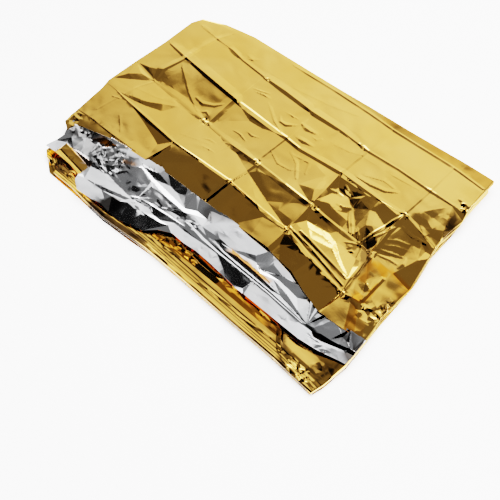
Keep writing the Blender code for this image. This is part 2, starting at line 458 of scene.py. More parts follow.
# %% Small marks on the top layer
TOP_MARKS = (               # small creases: (x, y, rise, right width, left width), in millimetres
    # near strip, left
    ((-398, -158, 0.3, 3, 8), (-360, -154, 0.5, 3, 12), (-300, -153, 0.6, 3, 14),
     (-226, -148, 0.4, 3, 10)),
    ((-322, -108, 0.25, 2, 6), (-296, -128, 0.3, 2, 6), (-284, -140, 0.2, 2, 6)),
    ((-374, -82, 0.3, 2, 3), (-356, -76, 0.3, 2, 3)),
    ((-190, -52, 0.2, 2, 6), (-128, -30, 0.25, 2, 8)),
    ((-350, -30, 0.25, 2, 8), (-300, -18, 0.3, 3, 10), (-262, 2, 0.2, 3, 10)),
    # under crease 2, left
    ((-325, 80, 0.5, 3, 12), (-262, 40, 0.6, 3, 12), (-215, 18, 0.4, 3, 10)),
    ((-240, 42, 0.6, 4, 6), (-218, 40, 1.1, 6, 8), (-196, 52, 0.8, 5, 6), (-184, 66, 0.3, 3, 6)),
    ((-205, 22, 0.3, 3, 4), (-196, 30, 0.8, 5, 5), (-186, 26, 0.3, 3, 4)),
    # scribbles between creases 1 and 2
    ((-170, 146, 0.3, 2, 3), (-150, 152, 0.8, 4, 4), (-132, 160, 0.3, 2, 3)),
    ((-160, 142, 0.3, 2, 3), (-142, 148, 0.8, 4, 4), (-122, 150, 0.3, 2, 3)),
    ((-118, 138, 0.2, 2, 5), (-100, 128, 0.5, 3, 6), (-72, 110, 0.6, 3, 6), (-42, 98, 0.4, 3, 5)),
    ((-72, 128, 0.4, 2, 4), (-62, 118, 0.9, 4, 6), (-47, 119, 1.2, 5, 8), (-30, 133, 0.5, 3, 6)),
    ((-72, 146, 0.2, 2, 3), (-54, 147, 0.7, 3, 4), (-36, 150, 0.2, 2, 3)),
    ((-24, 145, 0.6, 3, 6), (-8, 142, 1.5, 7, 10), (14, 145, 0.6, 3, 8)),
    ((-10, 110, 0.3, 3, 8), (10, 112, 1.5, 7, 10), (34, 116, 0.3, 3, 6)),
    ((16, 134, 0.3, 2, 4), (28, 134, 0.5, 3, 4), (34, 144, 0.5, 3, 4)),
    ((60, 150, 0.3, 2, 10), (96, 158, 0.4, 3, 12), (120, 168, 0.3, 2, 8)),
    ((-112, 208, 0.2, 2, 10), (-20, 226, 0.3, 3, 14), (60, 252, 0.2, 3, 10)),
    ((-250, 210, 0.2, 2, 8), (-232, 206, 0.8, 4, 10), (-220, 216, 0.3, 3, 8)),
    # between creases 1 and 2, right
    ((130, 168, 0.2, 2, 12), (200, 174, 0.4, 3, 14), (262, 182, 0.2, 2, 10)),
    ((150, 120, 0.3, 2, 8), (184, 124, 1.0, 5, 10), (214, 132, 0.9, 5, 8), (236, 148, 0.4, 3, 6)),
    ((160, 134, 0.3, 2, 8), (196, 150, 0.6, 3, 10), (224, 150, 0.3, 2, 6)),
    # between creases 2 and 3, middle
    ((-20, 46, 0.3, 2, 6), (12, 32, 0.5, 3, 6), (40, 36, 0.4, 3, 5), (56, 48, 0.2, 2, 5)),
    ((10, 72, 0.3, 2, 6), (40, 58, 0.5, 3, 6), (64, 30, 0.5, 3, 6)),
    ((20, 70, 0.3, 2, 5), (58, 78, 0.5, 3, 6), (70, 52, 0.4, 3, 5)),
    ((-96, 52, 0.3, 2, 3), (-80, 50, 0.7, 4, 4), (-64, 56, 0.3, 2, 3)),
    ((-118, 34, 0.3, 2, 3), (-100, 36, 0.7, 4, 4), (-78, 30, 0.3, 2, 3)),
    # between creases 3 and 4, left
    ((-150, -28, 0.2, 2, 3), (-136, -20, 0.5, 3, 4), (-120, -18, 0.2, 2, 3)),
    ((-136, -44, 0.2, 2, 3), (-118, -40, 0.5, 3, 4), (-104, -38, 0.2, 2, 3)),
)
print("top layer:", len(TOP_MARKS), "marks")

# %% More marks, round the leaf and at the right end
TOP_MARKS += (
    # parallel ridges beyond crease 4
    ((140, -66, 1.0, 5, 3), (200, -74, 1.2, 5, 3.2), (298, -92, 1.0, 4, 3)),
    ((160, -58, 1.2, 5, 3.4), (200, -64, 1.4, 5, 4), (292, -76, 1.0, 4, 3)),
    # lines in the bright leaf
    ((166, -40, 0.3, 3, 3), (196, -34, 0.8, 3, 3), (226, -38, 0.3, 3, 3)),
    ((190, -22, 0.3, 3, 3), (212, -36, 0.7, 3, 3), (236, -48, 0.3, 3, 3)),
    # flecks beyond the leaf
    ((250, -24, 0.4, 3, 2), (256, -18, 1.4, 4, 3.4), (262, -16, 0.4, 3, 2)),
    ((232, -12, 0.4, 3, 3), (246, -2, 1.0, 4, 4), (256, 2, 0.4, 3, 3)),
    # ripples right of crease e
    ((290, 48, 0.2, 3, 3), (306, 62, 0.5, 4, 4), (328, 72, 0.2, 3, 3)),
    ((288, 30, 0.2, 3, 3), (312, 50, 0.5, 4, 4), (336, 62, 0.2, 4, 3)),
    ((288, 20, 0.3, 4, 3), (314, 32, 0.7, 5, 4), (340, 44, 0.3, 4, 3)),
    ((290, 9, 0.3, 4, 3), (320, 20, 0.7, 5, 4), (342, 24, 0.3, 4, 3)),
    # bright ridges that meet at the crossing of crease 3 and crease e
    ((279, 113, 0.6, 3, 3), (272, 88, 2.2, 4, 4.6), (264, 50, 2.4, 4, 5), (256, 8, 0.8, 3, 3)),
    ((286, 84, 0.4, 3, 3), (272, 44, 1.4, 4, 4), (260, 8, 0.6, 3, 3)),
    ((230, 30, 0.4, 3, 3), (244, 18, 1.4, 4, 4), (256, 4, 0.5, 3, 3)),
    # lines of the cell at the right end
    ((296, 92, 0.3, 3, 6), (318, 88, 0.5, 3, 6), (350, 96, 0.3, 3, 6)),
    ((300, 140, 0.3, 3, 6), (318, 118, 0.5, 3, 6), (330, 112, 0.3, 3, 6)),
    ((342, 44, 0.6, 4, 4), (346, 30, 1.8, 6, 6), (345, 18, 0.6, 4, 4)),
    # folds of the wrinkled cell
    ((136, 60, 0.8, 6, 4), (146, 66, 1.2, 6, 5), (160, 66, 0.8, 5, 4)),
    ((150, 88, 0.6, 5, 4), (162, 82, 1.0, 6, 4), (172, 80, 0.6, 5, 4)),
    ((166, 44, 0.8, 5, 4), (180, 48, 1.4, 6, 5), (190, 58, 1.0, 5, 4)),
    ((194, 56, 0.8, 3, 5), (210, 36, 1.0, 3, 5), (232, 13, 0.8, 3, 4)),
    ((186, 60, 0.8, 3, 5), (204, 34, 1.0, 3, 5), (226, 12, 0.8, 3, 4)),
    # spine of the fan at the right end
    ((339, -22, 1.8, 5, 6), (342, -84, 1.8, 6, 6)),
)
print("with the right end:", len(TOP_MARKS), "marks")

# %% Facets of the top layer, along its main creases
TOP_FOLDS = {               # each fold is (x, y, rise over the stack) points, in millimetres
    "along_crease_2": (
        (-412, 114, 0), (-342, 106, 0), (-262, 101, 0), (-176, 96, 0), (-95, 95, 0), (-22, 94, 0),
        (20, 92, 0), (121, 105, 0), (222, 108, 0), (280, 116, 0), (316, 109, -1.6), (372, 102, -4),
        (420, 98, -7)),
    "along_crease_3": (
        (-412, 22, 0), (-342, 13, -3), (-262, 14, -3.5), (-176, 9, -3), (-95, 3, -2.5), (-20, 5, 1),
        (60, 3, 3), (131, 2, 4), (165, 4, -4.5), (210, 5, -9.5), (258, 5, -10), (288, 5, -9),
        (345, 1, -11), (394, -4, -14.5), (425, -6, -16.5)),
    "along_crease_4": (
        (-414, -64, 0), (-340, -69, 1), (-262, -73, 1), (-185, -78, 2), (-105, -73, 3),
        (-26, -68, 3), (54, -71, 0), (138, -74, 2), (220, -90, 3), (307, -105, 1), (325, -97, -3),
        (345, -92, -8)),
}
print("main creases:", len(TOP_FOLDS), "folds")

# %% Facets of the top layer, along its near edge
TOP_FOLDS |= {
    "near_edge_left": (
        (-425, -235, -2), (-362, -210, -0.5), (-285, -185, -0.5), (-200, -175, -1),
        (-194, -150, -0.6), (-182, -86, 2.4)),
    "near_edge_b": (
        (-182, -86, 2.4), (-190, -175, -8), (-135, -165, -8.5), (-40, -160, -10), (-33, -133, -7),
        (-26, -68, 3)),
    "sliver": ((-178, -92, 1.8), (-163, -128, -2.4), (-175, -150, -5.4)),
    "near_edge_c": (
        (-33, -133, -7), (-28, -160, -11), (40, -158, -12), (50, -152, -11.5), (52, -124, -7.6),
        (54, -103, -4.4), (81, -84, -1.5), (138, -76, 1.8)),
    "pale_facet": (
        (52, -124, -7.6), (100, -160, -2.5), (140, -158, 0.5), (138, -130, 0.5), (138, -76, 1.8)),
    "knot_c": ((138, -76, 1.8), (148, -105, -4), (152, -84, 1)),
    "near_edge_d": (
        (148, -158, -6), (205, -170, -7), (298, -182, -8.5), (301, -158, -6.5), (307, -105, 1)),
    "step_e": ((301, -158, -6.5), (305, -164, -4.5), (309, -112, -5), (330, -106, -5)),
    "near_edge_e": (
        (304, -182, -4), (305, -164, -4.5), (340, -185, -4), (360, -160, -4.6), (330, -106, -5)),
    "orange_band": (
        (325, -97, -4.5), (330, -106, -5), (360, -160, -4.6), (381, -156, -9), (350, -106, -9.4),
        (345, -92, -9.4)),
    "near_end": (
        (340, -185, -4), (384, -180, -10), (381, -156, -9), (383, -125, -9), (360, -108, -9),
        (350, -106, -9.4)),
    "dark_end": (
        (384, -180, -10), (420, -178, -15), (410, -120, -13), (383, -125, -9), (392, -84, -10)),
}
print("with the near edge:", len(TOP_FOLDS), "folds")

# %% Facets of the top layer, at the left
TOP_FOLDS |= {
    "brown_wedge": (
        (-325, -70, 0.8), (-278, -82, -0.4), (-226, -97, -1.8), (-206, -104, -2.4),
        (-182, -86, 2.4)),
    "lens": (
        (-414, -45, 0), (-378, -18, 0), (-348, 7, -2.5), (-378, 5, 1.4), (-398, -15, 2),
        (-414, -45, 0)),
    "long_lens": (
        (-376, -66, 0.8), (-340, -52, 1.2), (-304, -40, 1.6), (-279, -23, 1), (-250, -2, -1.8),
        (-266, -37, -1), (-300, -50, -0.6), (-336, -60, 0.4), (-376, -66, 0.8)),
    "kite_a": ((-406, 24, 0), (-377, 31, 1), (-352, 47, 0), (-342, 15, -3)),
    "kite_a_far": ((-377, 31, 1), (-360, 80, -0.4), (-352, 47, 0)),
    "under_crease_2": (
        (-176, 96, 0), (-143, 46, -3.4), (-111, 76, -4), (-78, 79, -3), (-49, 88, -1.2),
        (-22, 94, 0)),
}
print("with the left:", len(TOP_FOLDS), "folds")

# %% Facets of the top layer, in the middle
TOP_FOLDS |= {
    "fold_cd": ((-16, -26, -0.8), (60, -50, -2.4), (128, -70, -1)),
    "fold_cd_start": ((-3, -9, 2), (-16, -26, -0.5), (-24, -66, 1)),
    "tent_d": ((78, 23, 1.5), (104, 77, 2), (121, 105, 0)),
    "tent_d_base": ((104, 77, 2), (112, 34, 6), (131, 2, 4)),
    "right_of_d": ((131, 2, 4), (128, 51, 3.5), (121, 105, 0)),
    "valley_d": (
        (128, 51, 3.5), (140, 76, -5), (150, 70, -6.5), (171, 72, -6.5), (191, 58, -8.5),
        (192, 42, -8)),
    "middle_de": ((171, 72, -6.5), (190, 84, -1.5), (196, 99, 0.5), (222, 78, -3.5)),
    "s_crest": (
        (131, 17, 4.5), (140, 50, -1.5), (153, 32, 0), (174, 28, -1.5), (192, 42, -8),
        (205, 30, -8.5), (225, 32, -9), (234, 14, -8)),
    "kite_e": ((222, 78, -3.5), (230, 107.5, 1), (234, 82, -3.4), (222, 78, -3.5)),
    "kite_e2": (
        (234, 82, -3.4), (268, 104, 1.8), (280, 116, 0), (279, 80, -4), (270, 69, -5.4),
        (234, 82, -3.4)),
    "black_wedge": ((240, 44, -2), (258, 5, -10), (276, 6, -13), (240, 44, -2)),
    "wedge_line": ((240, 44, -2), (250, 52, -2), (270, 69, -5.4)),
}
print("with the middle:", len(TOP_FOLDS), "folds")

# %% Facets of the top layer, at the right
TOP_FOLDS |= {
    "e_right": ((279, 80, -4), (284, 30, -6), (288, 5, -9)),
    "right_field": (
        (280, 116, 0), (294, 89, -3.4), (316, 109, -1.6), (332, 76, -7.5), (336, 40, -11),
        (345, 1, -11)),
    "right_wedge": ((280, 116, 0), (334, 198, 0), (350, 206, 0), (400, 215, 0), (425, 98, -12)),
    "right_wedge_crest": ((334, 198, 0), (357, 144, -1), (368, 118, -3.4), (372, 102, -4)),
    "right_wedge_foot": (
        (350, 206, 0), (381, 186, -8), (378, 150, -12), (374, 120, -10), (372, 102, -4)),
    "pale_leaf": ((332, 76, -7.5), (339, 94, -4.6), (350, 80, -6), (361, 56, -7), (332, 76, -7.5)),
    "pale_leaf_2": (
        (361, 56, -7), (360, 84, -8.5), (366, 99, -5.4), (380, 84, -6.4), (361, 56, -7)),
    "orange_kite": ((298, -2, -9.5), (340, -19, -10.5), (345, 1, -11)),
}
print("with the right:", len(TOP_FOLDS), "folds")

# %% Facets of the top layer, between creases 3 and 4 at the right
TOP_FOLDS |= {
    "leaf_far": (
        (150, -30, -1), (166, -24, -7), (199, -17, -9.4), (220, -23, -8.6), (252, -47, -4),
        (293, -70, -1.5)),
    "dark_flecks": ((220, -23, -8.6), (244, -20, -9), (262, -24, -11), (259, 5, -10.4)),
    "leaf_foot": (
        (140, -50, 2), (185, -58, 5), (210, -52, 4), (231, -46, 3), (262, -62, 2), (293, -78, 1)),
    "maroon_band": ((288, 5, -9), (293, -12, -10), (303, -58, -5), (307, -105, 1)),
    "maroon_edge": ((298, -2, -9.5), (320, -47, -10), (330, -72, -9.4), (325, -97, -4.5)),
    "sliver_foot": ((259, 5, -10.4), (274, -24, -11), (283, -44, -8), (293, -70, -1.5)),
    "sliver_crest": ((263, 6, -9.6), (284, -24, -6.6), (291, -38, -4.4), (297, -70, 0.5)),
    "black_below_3": ((276, 6, -13), (292, -16, -10.4)),
    "gold_kite": (
        (346, -15, -10.6), (345, 1, -11), (394, -4, -14.5), (393, -60, -13.6), (346, -15, -10.6)),
    "pale_dart": ((342, -25, -10.2), (370, -64, -10.4), (355, -71, -8.2), (342, -25, -10.2)),
    "fan_edge": ((340, -19, -10.5), (332, -50, -9), (345, -88, -8.4)),
}
print("with the leaf and the fan:", len(TOP_FOLDS), "folds")

# %% Rim of the facets, beyond the edges of the film
TOP_FOLDS |= {
    "right_edge": (
        (425, 60, -14), (425, -6, -16.5), (425, -60, -15.4), (425, -90, -14), (425, -120, -14)),
    "bottom": (
        (-440, -330, 0), (-362, -330, 0), (-200, -330, -4), (40, -330, -8), (298, -330, -8),
        (440, -330, -8)),
}
print("with the rim:", len(TOP_FOLDS), "folds")

# %% Knots, and the whole relief of the top layer
TOP_KNOTS = (               # centre x, centre y, length, width, spacing, rise, in millimetres
    (-184, 8, 22, 18, 5, 1.6),
    (-20, 6, 20, 16, 5, 1.8),
    (-165, 186, 20, 12, 4, 1.2),
    (108, 189, 28, 14, 5, 1.4),
    (140, 4, 30, 18, 5, 2.0),
    (286, 6, 22, 18, 5, 2.0),
    (279, 115, 22, 16, 5, 1.8),
    (138, -73, 26, 20, 5, 1.6),
    (-26, -68, 14, 12, 4, 1.0),
    (308, -104, 24, 20, 5, 1.8),
    (372, -97, 50, 38, 7, 2.6),
    (350, 218, 36, 28, 6, 3.0),
    (330, 140, 80, 80, 16, 0.9),
    (244, -26, 50, 44, 10, 1.4),
    (385, -68, 24, 50, 6, 3.0),
    (325, -56, 30, 60, 9, 1.3),
    (205, 66, 60, 40, 14, 0.5),
    (390, -140, 30, 40, 9, 1.2),
    (340, 250, 70, 50, 16, 1.2),
    (-392, -178, 40, 36, 9, 2.0),
    (-160, 110, 90, 30, 12, 0.4),
)
TOP_SEED = 0


def top_relief(x, y):
    """Relief of the top layer, in metres."""
    return rows(x, y, TOP_CREASES) + rows(x, y, TOP_MARKS) + crumples(x, y, TOP_KNOTS, TOP_SEED)


print("top layer:", len(TOP_KNOTS), "knots")

# %% [markdown]
# ## The silver layer
#
# The sheet was folded in half, so the layer under the top one lies silver side up. It reaches
# further out than the gold, and the strip that shows is gathered into fans, pleats and a long slit.
# Polished film turns nearly black or white with a few degrees of tilt. So its facets are given as
# heights over the floor, from which the tilt of each can be worked out.

# %% Silver facets, at the left
def fan(name, centre, tips):
    """Folds from one centre to each of several tips."""
    return {f"{name}_{number}": (tip, centre) for number, tip in enumerate(tips, 1)}


SILVER_FOLDS = {            # each fold is (x, y, height over the floor) points, in millimetres
    "under_gold_edge": (
        (-416, -205, 27), (-400, -202, 27), (-367, -181, 30), (-330, -165, 32), (-290, -155, 33),
        (-245, -148, 33), (-205, -142, 33), (-147, -131, 31), (-81, -131, 30), (-70, -131, 28),
        (-60, -131, 30.5), (-48, -131, 28), (-26, -126, 30), (56, -123, 31), (131, -120, 31.5),
        (146, -124, 31), (200, -130, 29.5), (246, -141, 28), (265, -146, 28), (272, -149, 26),
        (281, -149, 30.5), (289, -149, 28), (298, -150, 31.5), (302, -150, 28.8), (317, -150, 31.5),
        (321, -150, 29), (337, -149, 31.4), (342, -148, 29.2), (366, -145, 31), (394, -139, 27),
        (420, -138, 25)),
    "corner": (
        (-410, -240, 24), (-385, -215, 25.5), (-350, -217, 27.2), (-330, -192, 25),
        (-306, -194, 25.5), (-306, -228, 26.5)),
    "flap_far": ((-350, -231, 23), (-328, -233, 23.5), (-268, -229, 24), (-266, -236, 22)),
    "flap_top": ((-347, -234, 21.3), (-329, -236, 21.6), (-267, -241, 21.4)),
    "flap_near": ((-347, -250, 20.4), (-268, -257, 20.3)),
    "flap_line": ((-347, -253, 19.6), (-268, -260, 19.5)),
    "flap_ridge": ((-347, -257, 20.4), (-268, -264, 20.4)),
    "white_flap": ((-376, -268, 23.6), (-349, -264, 23.6), (-350, -231, 21.5), (-369, -242, 22)),
    "gleam": (
        (-318, -190, 27), (-297, -167, 31), (-261, -166, 32), (-280, -184, 27.5), (-302, -185, 27),
        (-318, -190, 27)),
    **fan("fan", (-290, -226, 25), (
        (-306, -194, 27), (-300, -192, 25.4), (-294, -190, 27.6), (-288, -188, 25.8),
        (-280, -190, 28))),
    "crumple_far": (
        (-263, -164, 32), (-248, -176, 30), (-228, -170, 32), (-205, -156, 32), (-190, -160, 32)),
    "crumple_near": (
        (-274, -188, 29.5), (-255, -200, 27), (-235, -190, 30), (-207, -188, 29),
        (-190, -172, 31.5)),
}
print("silver, left:", len(SILVER_FOLDS), "folds")

# %% Silver facets, in the middle
SILVER_FOLDS |= {
    "grey_quads": ((-202, -191, 28.5), (-207, -213, 25), (-136, -219, 25), (-134, -221, 25.5)),
    "grey_right": ((-202, -191, 28.5), (-195, -186, 29.5), (-143, -183, 29), (-134, -186, 31)),
    "white_bars": ((-134, -221, 25.5), (-134, -186, 31), (-146, -176, 29.5)),
    "grey_three": ((-131, -185, 29.5), (-95, -188, 28.2), (-129, -218, 26)),
    "light_by_edge": ((-190, -160, 30), (-147, -152, 30)),
    "black_notch": (
        (-147, -152, 29), (-139, -137, 29.4), (-112, -155, 24.6), (-90, -157, 23.6),
        (-72, -151, 24.8), (-60, -131, 30.5)),
    "white_ridge_far": (
        (-187, -162, 29), (-147, -168, 26), (-103, -169, 24.5), (-49, -173, 24), (-28, -160, 24)),
    "white_ridge": (
        (-182, -168, 31.5), (-146, -176, 29.5), (-99, -182, 29.5), (-41, -182, 28.5),
        (8, -180, 27)),
    "star": ((-28, -160, 24), (-26, -126, 31), (-8, -142, 27.5), (2, -160, 25), (16, -164, 28)),
    "star_dark": ((-60, -131, 30.5), (-28, -160, 24), (-44, -129, 26)),
    "star_low": ((-28, -160, 24), (2, -160, 25)),
}
print("with the middle:", len(SILVER_FOLDS), "folds")

# %% Silver facets, the pale ones along the gold edge
SILVER_FOLDS |= {
    "grey_and_light": (
        (56, -123, 31), (16, -164, 28), (38, -166, 29.3), (56, -162, 30), (85, -160, 30.3),
        (112, -165, 30), (133, -155, 31), (142, -166, 28), (157, -170, 26)),
    "dark_notch": ((131, -120, 31.5), (133, -155, 31)),
    "dark_notch_far": ((146, -124, 28.4), (157, -170, 26)),
    "facet_a": ((157, -170, 26), (172, -146, 29.5), (196, -131, 29.5)),
    "facet_b": ((157, -170, 26), (200, -152, 29), (246, -142, 29)),
    "facet_c": ((172, -167, 25.5), (205, -163, 27), (246, -142, 31)),
    "white_stripe": (
        (165, -171, 26), (190, -169, 28.2), (235, -176, 28.8), (270, -186, 26.2), (298, -194, 24)),
    "facet_d": ((205, -163, 27), (250, -166, 24.3), (265, -146, 28.2)),
    "maroon": ((250, -166, 24.3), (270, -186, 26.6)),
}
print("with the pale ones:", len(SILVER_FOLDS), "folds")

# %% Silver facets, the slit and its pleats
SILVER_FOLDS |= {
    "slit_lip": (
        (30, -178, 28.4), (54, -177, 29), (90, -178, 29.5), (165, -178, 29), (190, -180, 28.5),
        (226, -186, 27.2), (298, -194, 24)),
    "slit_orange": ((60, -181.5, 27.9), (111, -181.5, 27.8), (165, -182, 27.3), (200, -185, 26.6)),
    "slit_floor": (
        (50, -186, 26.8), (78, -190, 25.7), (117, -190, 25.7), (143, -190, 25.5), (203, -190, 25.4),
        (250, -192, 24.8), (298, -195, 23.6)),
    "pleat_1": (
        (-20, -186, 27), (30, -190, 26.6), (78, -194, 26.5), (117, -194, 26.5), (143, -193.5, 26.2),
        (203, -192.5, 25.9), (250, -194, 25.2), (298, -196, 23.8)),
    "pleat_2": (
        (-10, -192, 26), (30, -196, 25.6), (78, -198, 25.5), (117, -197.5, 25.6), (143, -197, 25.3),
        (203, -195.5, 25.1), (250, -196.5, 24.6), (298, -197.5, 23.4)),
    "pleat_3": (
        (-5, -197, 26.6), (30, -202, 26.4), (78, -202, 26.3), (117, -200.5, 26.2),
        (143, -199.5, 25.8), (203, -198, 25.6), (250, -198.5, 24.9), (294, -198.5, 23.7)),
    "strip_top": (
        (-20, -208, 25), (30, -208, 25.3), (74, -204, 25.8), (166, -201, 25), (210, -200.5, 25),
        (250, -201.5, 24.2), (290, -202, 23.2), (303, -200, 22.5)),
    "strip_cross": (
        (74, -204, 25.8), (94, -203, 25.8), (117, -203, 25.6), (140, -202, 25.3), (166, -201, 25),
        (162, -222, 19.5), (143, -229, 18.3), (121, -228, 19), (105, -218, 21.7), (74, -204, 25.8)),
}
print("with the slit:", len(SILVER_FOLDS), "folds")

# %% Silver facets, the star at the right end
SILVER_FOLDS |= {
    "end_star": (
        (302, -194, 24), (316, -191, 24.8), (333, -192, 24.9), (353, -189, 24.6), (371, -184, 24.2),
        (391, -176, 23.5), (420, -168, 22)),
    **fan("end_fan", (302, -194, 24), (
        (273, -153, 26), (278, -150, 30), (287, -150, 27.6), (296, -151, 31), (301, -151, 28.6),
        (316, -151, 31.3), (321, -151, 28.8))),
    "end_fan_8": ((316, -191, 24.8), (336, -150, 31.2)),
    "end_star_2": (
        (353, -189, 24.6), (361, -166, 27.5), (368, -146, 30), (384, -169, 26), (391, -176, 23.5)),
    "end_star_3": ((353, -189, 24.6), (366, -168, 25), (378, -170, 24.4), (391, -176, 23.5)),
    "end_star_4": ((353, -189, 24.6), (339, -152, 30.8), (342, -150, 29)),
    "end_star_5": ((371, -145, 29.5), (390, -168, 23.8), (398, -174, 22.5), (396, -150, 25)),
    "end_slit": (
        (302, -197, 23.2), (317, -199, 22.7), (328, -204, 21.7), (341, -202, 21.9),
        (360, -195.5, 22.2), (378, -188.5, 22.1), (396, -183, 20.9), (420, -176, 19.5)),
    "end_lip": (
        (310, -204, 23), (328, -208, 22.8), (345, -207, 22.8), (360, -201, 22.6), (376, -194, 22.3),
        (392, -189, 21.4)),
}
print("with the right end:", len(SILVER_FOLDS), "folds")

# %% Silver facets, the ridges and darts of the near side
SILVER_FOLDS |= {
    "long_ridge": (
        (-266, -236, 22), (-226, -226, 22.5), (-187, -230, 22.5), (-154, -232, 23),
        (-133, -222, 26.5), (-101, -217, 27), (-59, -210, 26.5), (-16, -204, 25.5)),
    "long_ridge_far": ((-136, -219, 25), (-95, -212, 24.5), (-44, -205, 24), (-5, -197, 27.5)),
    "long_ridge_near": (
        (-133, -230, 24), (-97, -224, 24.6), (-82, -229, 23), (-64, -228, 23), (-38, -213, 24.8),
        (-10, -212, 24)),
    "fan_low_1": ((-133, -222, 26.5), (-95, -188, 27.5), (-60, -192, 27)),
    "fan_low_2": ((-133, -222, 26.5), (-70, -200, 25.5), (-35, -196, 25)),
    "fan_low_3": ((-95, -212, 25), (-70, -195, 27.5), (-25, -174, 28.5)),
    "fan_low_4": ((-44, -207, 25), (-45, -195, 25), (-25, -174, 28.5)),
    "white_facets": (
        (-268, -272, 22), (-250, -266, 22.8), (-224, -259, 23.2), (-199, -252, 23.7),
        (-164, -241, 24), (-144, -234, 24.2)),
    "grey_below": ((-222, -263, 22.4), (-203, -261, 22), (-175, -252, 22.6), (-150, -244, 23.4)),
    "white_leaf": (
        (-268, -272, 22), (-262, -284, 22.5), (-238, -299, 24), (-200, -294, 22.5),
        (-179, -286, 20), (-184, -270, 21), (-203, -261, 22)),
    "maroon_dark": (
        (-184, -270, 21), (-175, -257, 23.4), (-155, -255, 24), (-141, -245, 25.2),
        (-119, -246, 25), (-113, -243, 25.5)),
    "black_facet": ((-155, -255, 24), (-126, -279, 17.5), (-106, -268, 18.6), (-119, -246, 25)),
    "black_triangle": (
        (-113, -243, 25.3), (-101, -240, 25.5), (-59, -233, 25.4), (-42, -226, 26),
        (-73, -266, 17.4), (-91, -273, 16.6), (-106, -268, 18.6)),
    "cut_edge": (
        (-430, -272, 23.6), (-376, -272, 23.6), (-349, -268, 23.6), (-300, -268, 20.6),
        (-268, -272, 22), (-262, -284, 22.5), (-238, -299, 24), (-200, -294, 22.5),
        (-179, -288, 19.6), (-152, -289, 15.8), (-128, -291, 15.4), (-100, -280, 15.4),
        (-73, -272, 16.6), (-48, -250, 22), (-20, -236, 25), (10, -236, 25), (40, -232, 25.5),
        (74, -232, 25.6), (105, -232, 22), (121, -234, 18.6), (143, -235, 18), (175, -236, 24.8),
        (240, -233, 24.4), (310, -231, 24), (350, -224, 23.2), (395, -211, 21.2), (430, -204, 20)),
}
print("silver layer:", len(SILVER_FOLDS), "folds")

# %% Silver crumples
SILVER_KNOTS = (            # as the knots of the top layer, with two spacings
    (-246, -196, 112, 76, (9, 5), 1.3),
    (-366, -190, 84, 40, (8, 5), 1.5),
    (-180, -222, 110, 26, (16, 6), 0.9),
    (-120, -238, 60, 16, (10, 5), 1.2),
    (-10, -190, 60, 20, (10, 5), 1.0),
    (-150, -205, 90, 30, (14, 6), 0.5),
    (-90, -196, 110, 22, (20, 4), 0.8),
    (60, -148, 70, 34, (12, 9), 0.5),
    (60, -218, 170, 22, (22, 5), 0.35),
    (240, -216, 130, 22, (20, 6), 0.3),
    (300, -166, 110, 30, (16, 8), 0.4),
    (345, -214, 60, 16, (9, 5), 1.0),
    (110, -172, 60, 14, (12, 5), 0.8),
    (330, -204, 60, 12, (10, 5), 0.8),
)
SILVER_SEED = 40
print("silver layer:", len(SILVER_KNOTS), "knots")

# %% [markdown]
# ## The lower gold layer
#
# Below the silver strip the next panel comes out, gold side up, and rolls over into the near fold.
# It is pulled into long straight ribs that run side by side. One section would do for a perfect
# roll, but these ribs spread and close up. So the panel is *ruled*: a family of lines is given,
# and straight strips span the gaps between them.

# %% Ribs of the lower gold layer
def beside(line, away, rise):
    """The same line further from the near fold and higher, in millimetres."""
    return tuple((x, y + away, z + rise) for x, y, z in line)


NEAR_LIP = (                # (x, y, height over the floor), along the near fold
    (-350, -282, 14), (-318, -297, 13.6), (-265, -295, 13.6), (-217, -298, 14.4),
    (-163, -299.5, 14.2), (-123, -296, 14.7), (-87, -292, 15.5), (-43, -288.5, 16.2),
    (35, -287, 16.9), (190, -286.5, 17), (300, -285, 17), (360, -287, 15.5), (402, -288, 13)
)
BLACK_BAND_TOP = (
    (-345, -278, 15.2), (-318, -292, 15), (-265, -290, 15), (-217, -292, 15.9), (-163, -291, 16.3),
    (-123, -286, 17.2), (-87, -282.5, 17.8), (-43, -281, 18), (35, -281.5, 18.2), (190, -281, 18.2),
    (300, -280, 18), (360, -281.5, 16.7), (400, -283, 14)
)
RIBS = (                    # mm beyond the black band, and above it
    (1.5, 0.8),             # bright line
    (3.2, 1.25),            # black line
    (7.0, 0.75),            # pale band
    (8.3, 1.05),            # dark line
    (12.0, 0.65),           # pale band
    (14.0, 0.95),           # brown line
    (19.5, 0.65),           # pale band
    (22.0, 1.15),           # brown line
)
RIB_LINES = tuple(beside(BLACK_BAND_TOP, away, rise) for away, rise in RIBS)
print("lower gold layer:", len(RIB_LINES), "ribs")

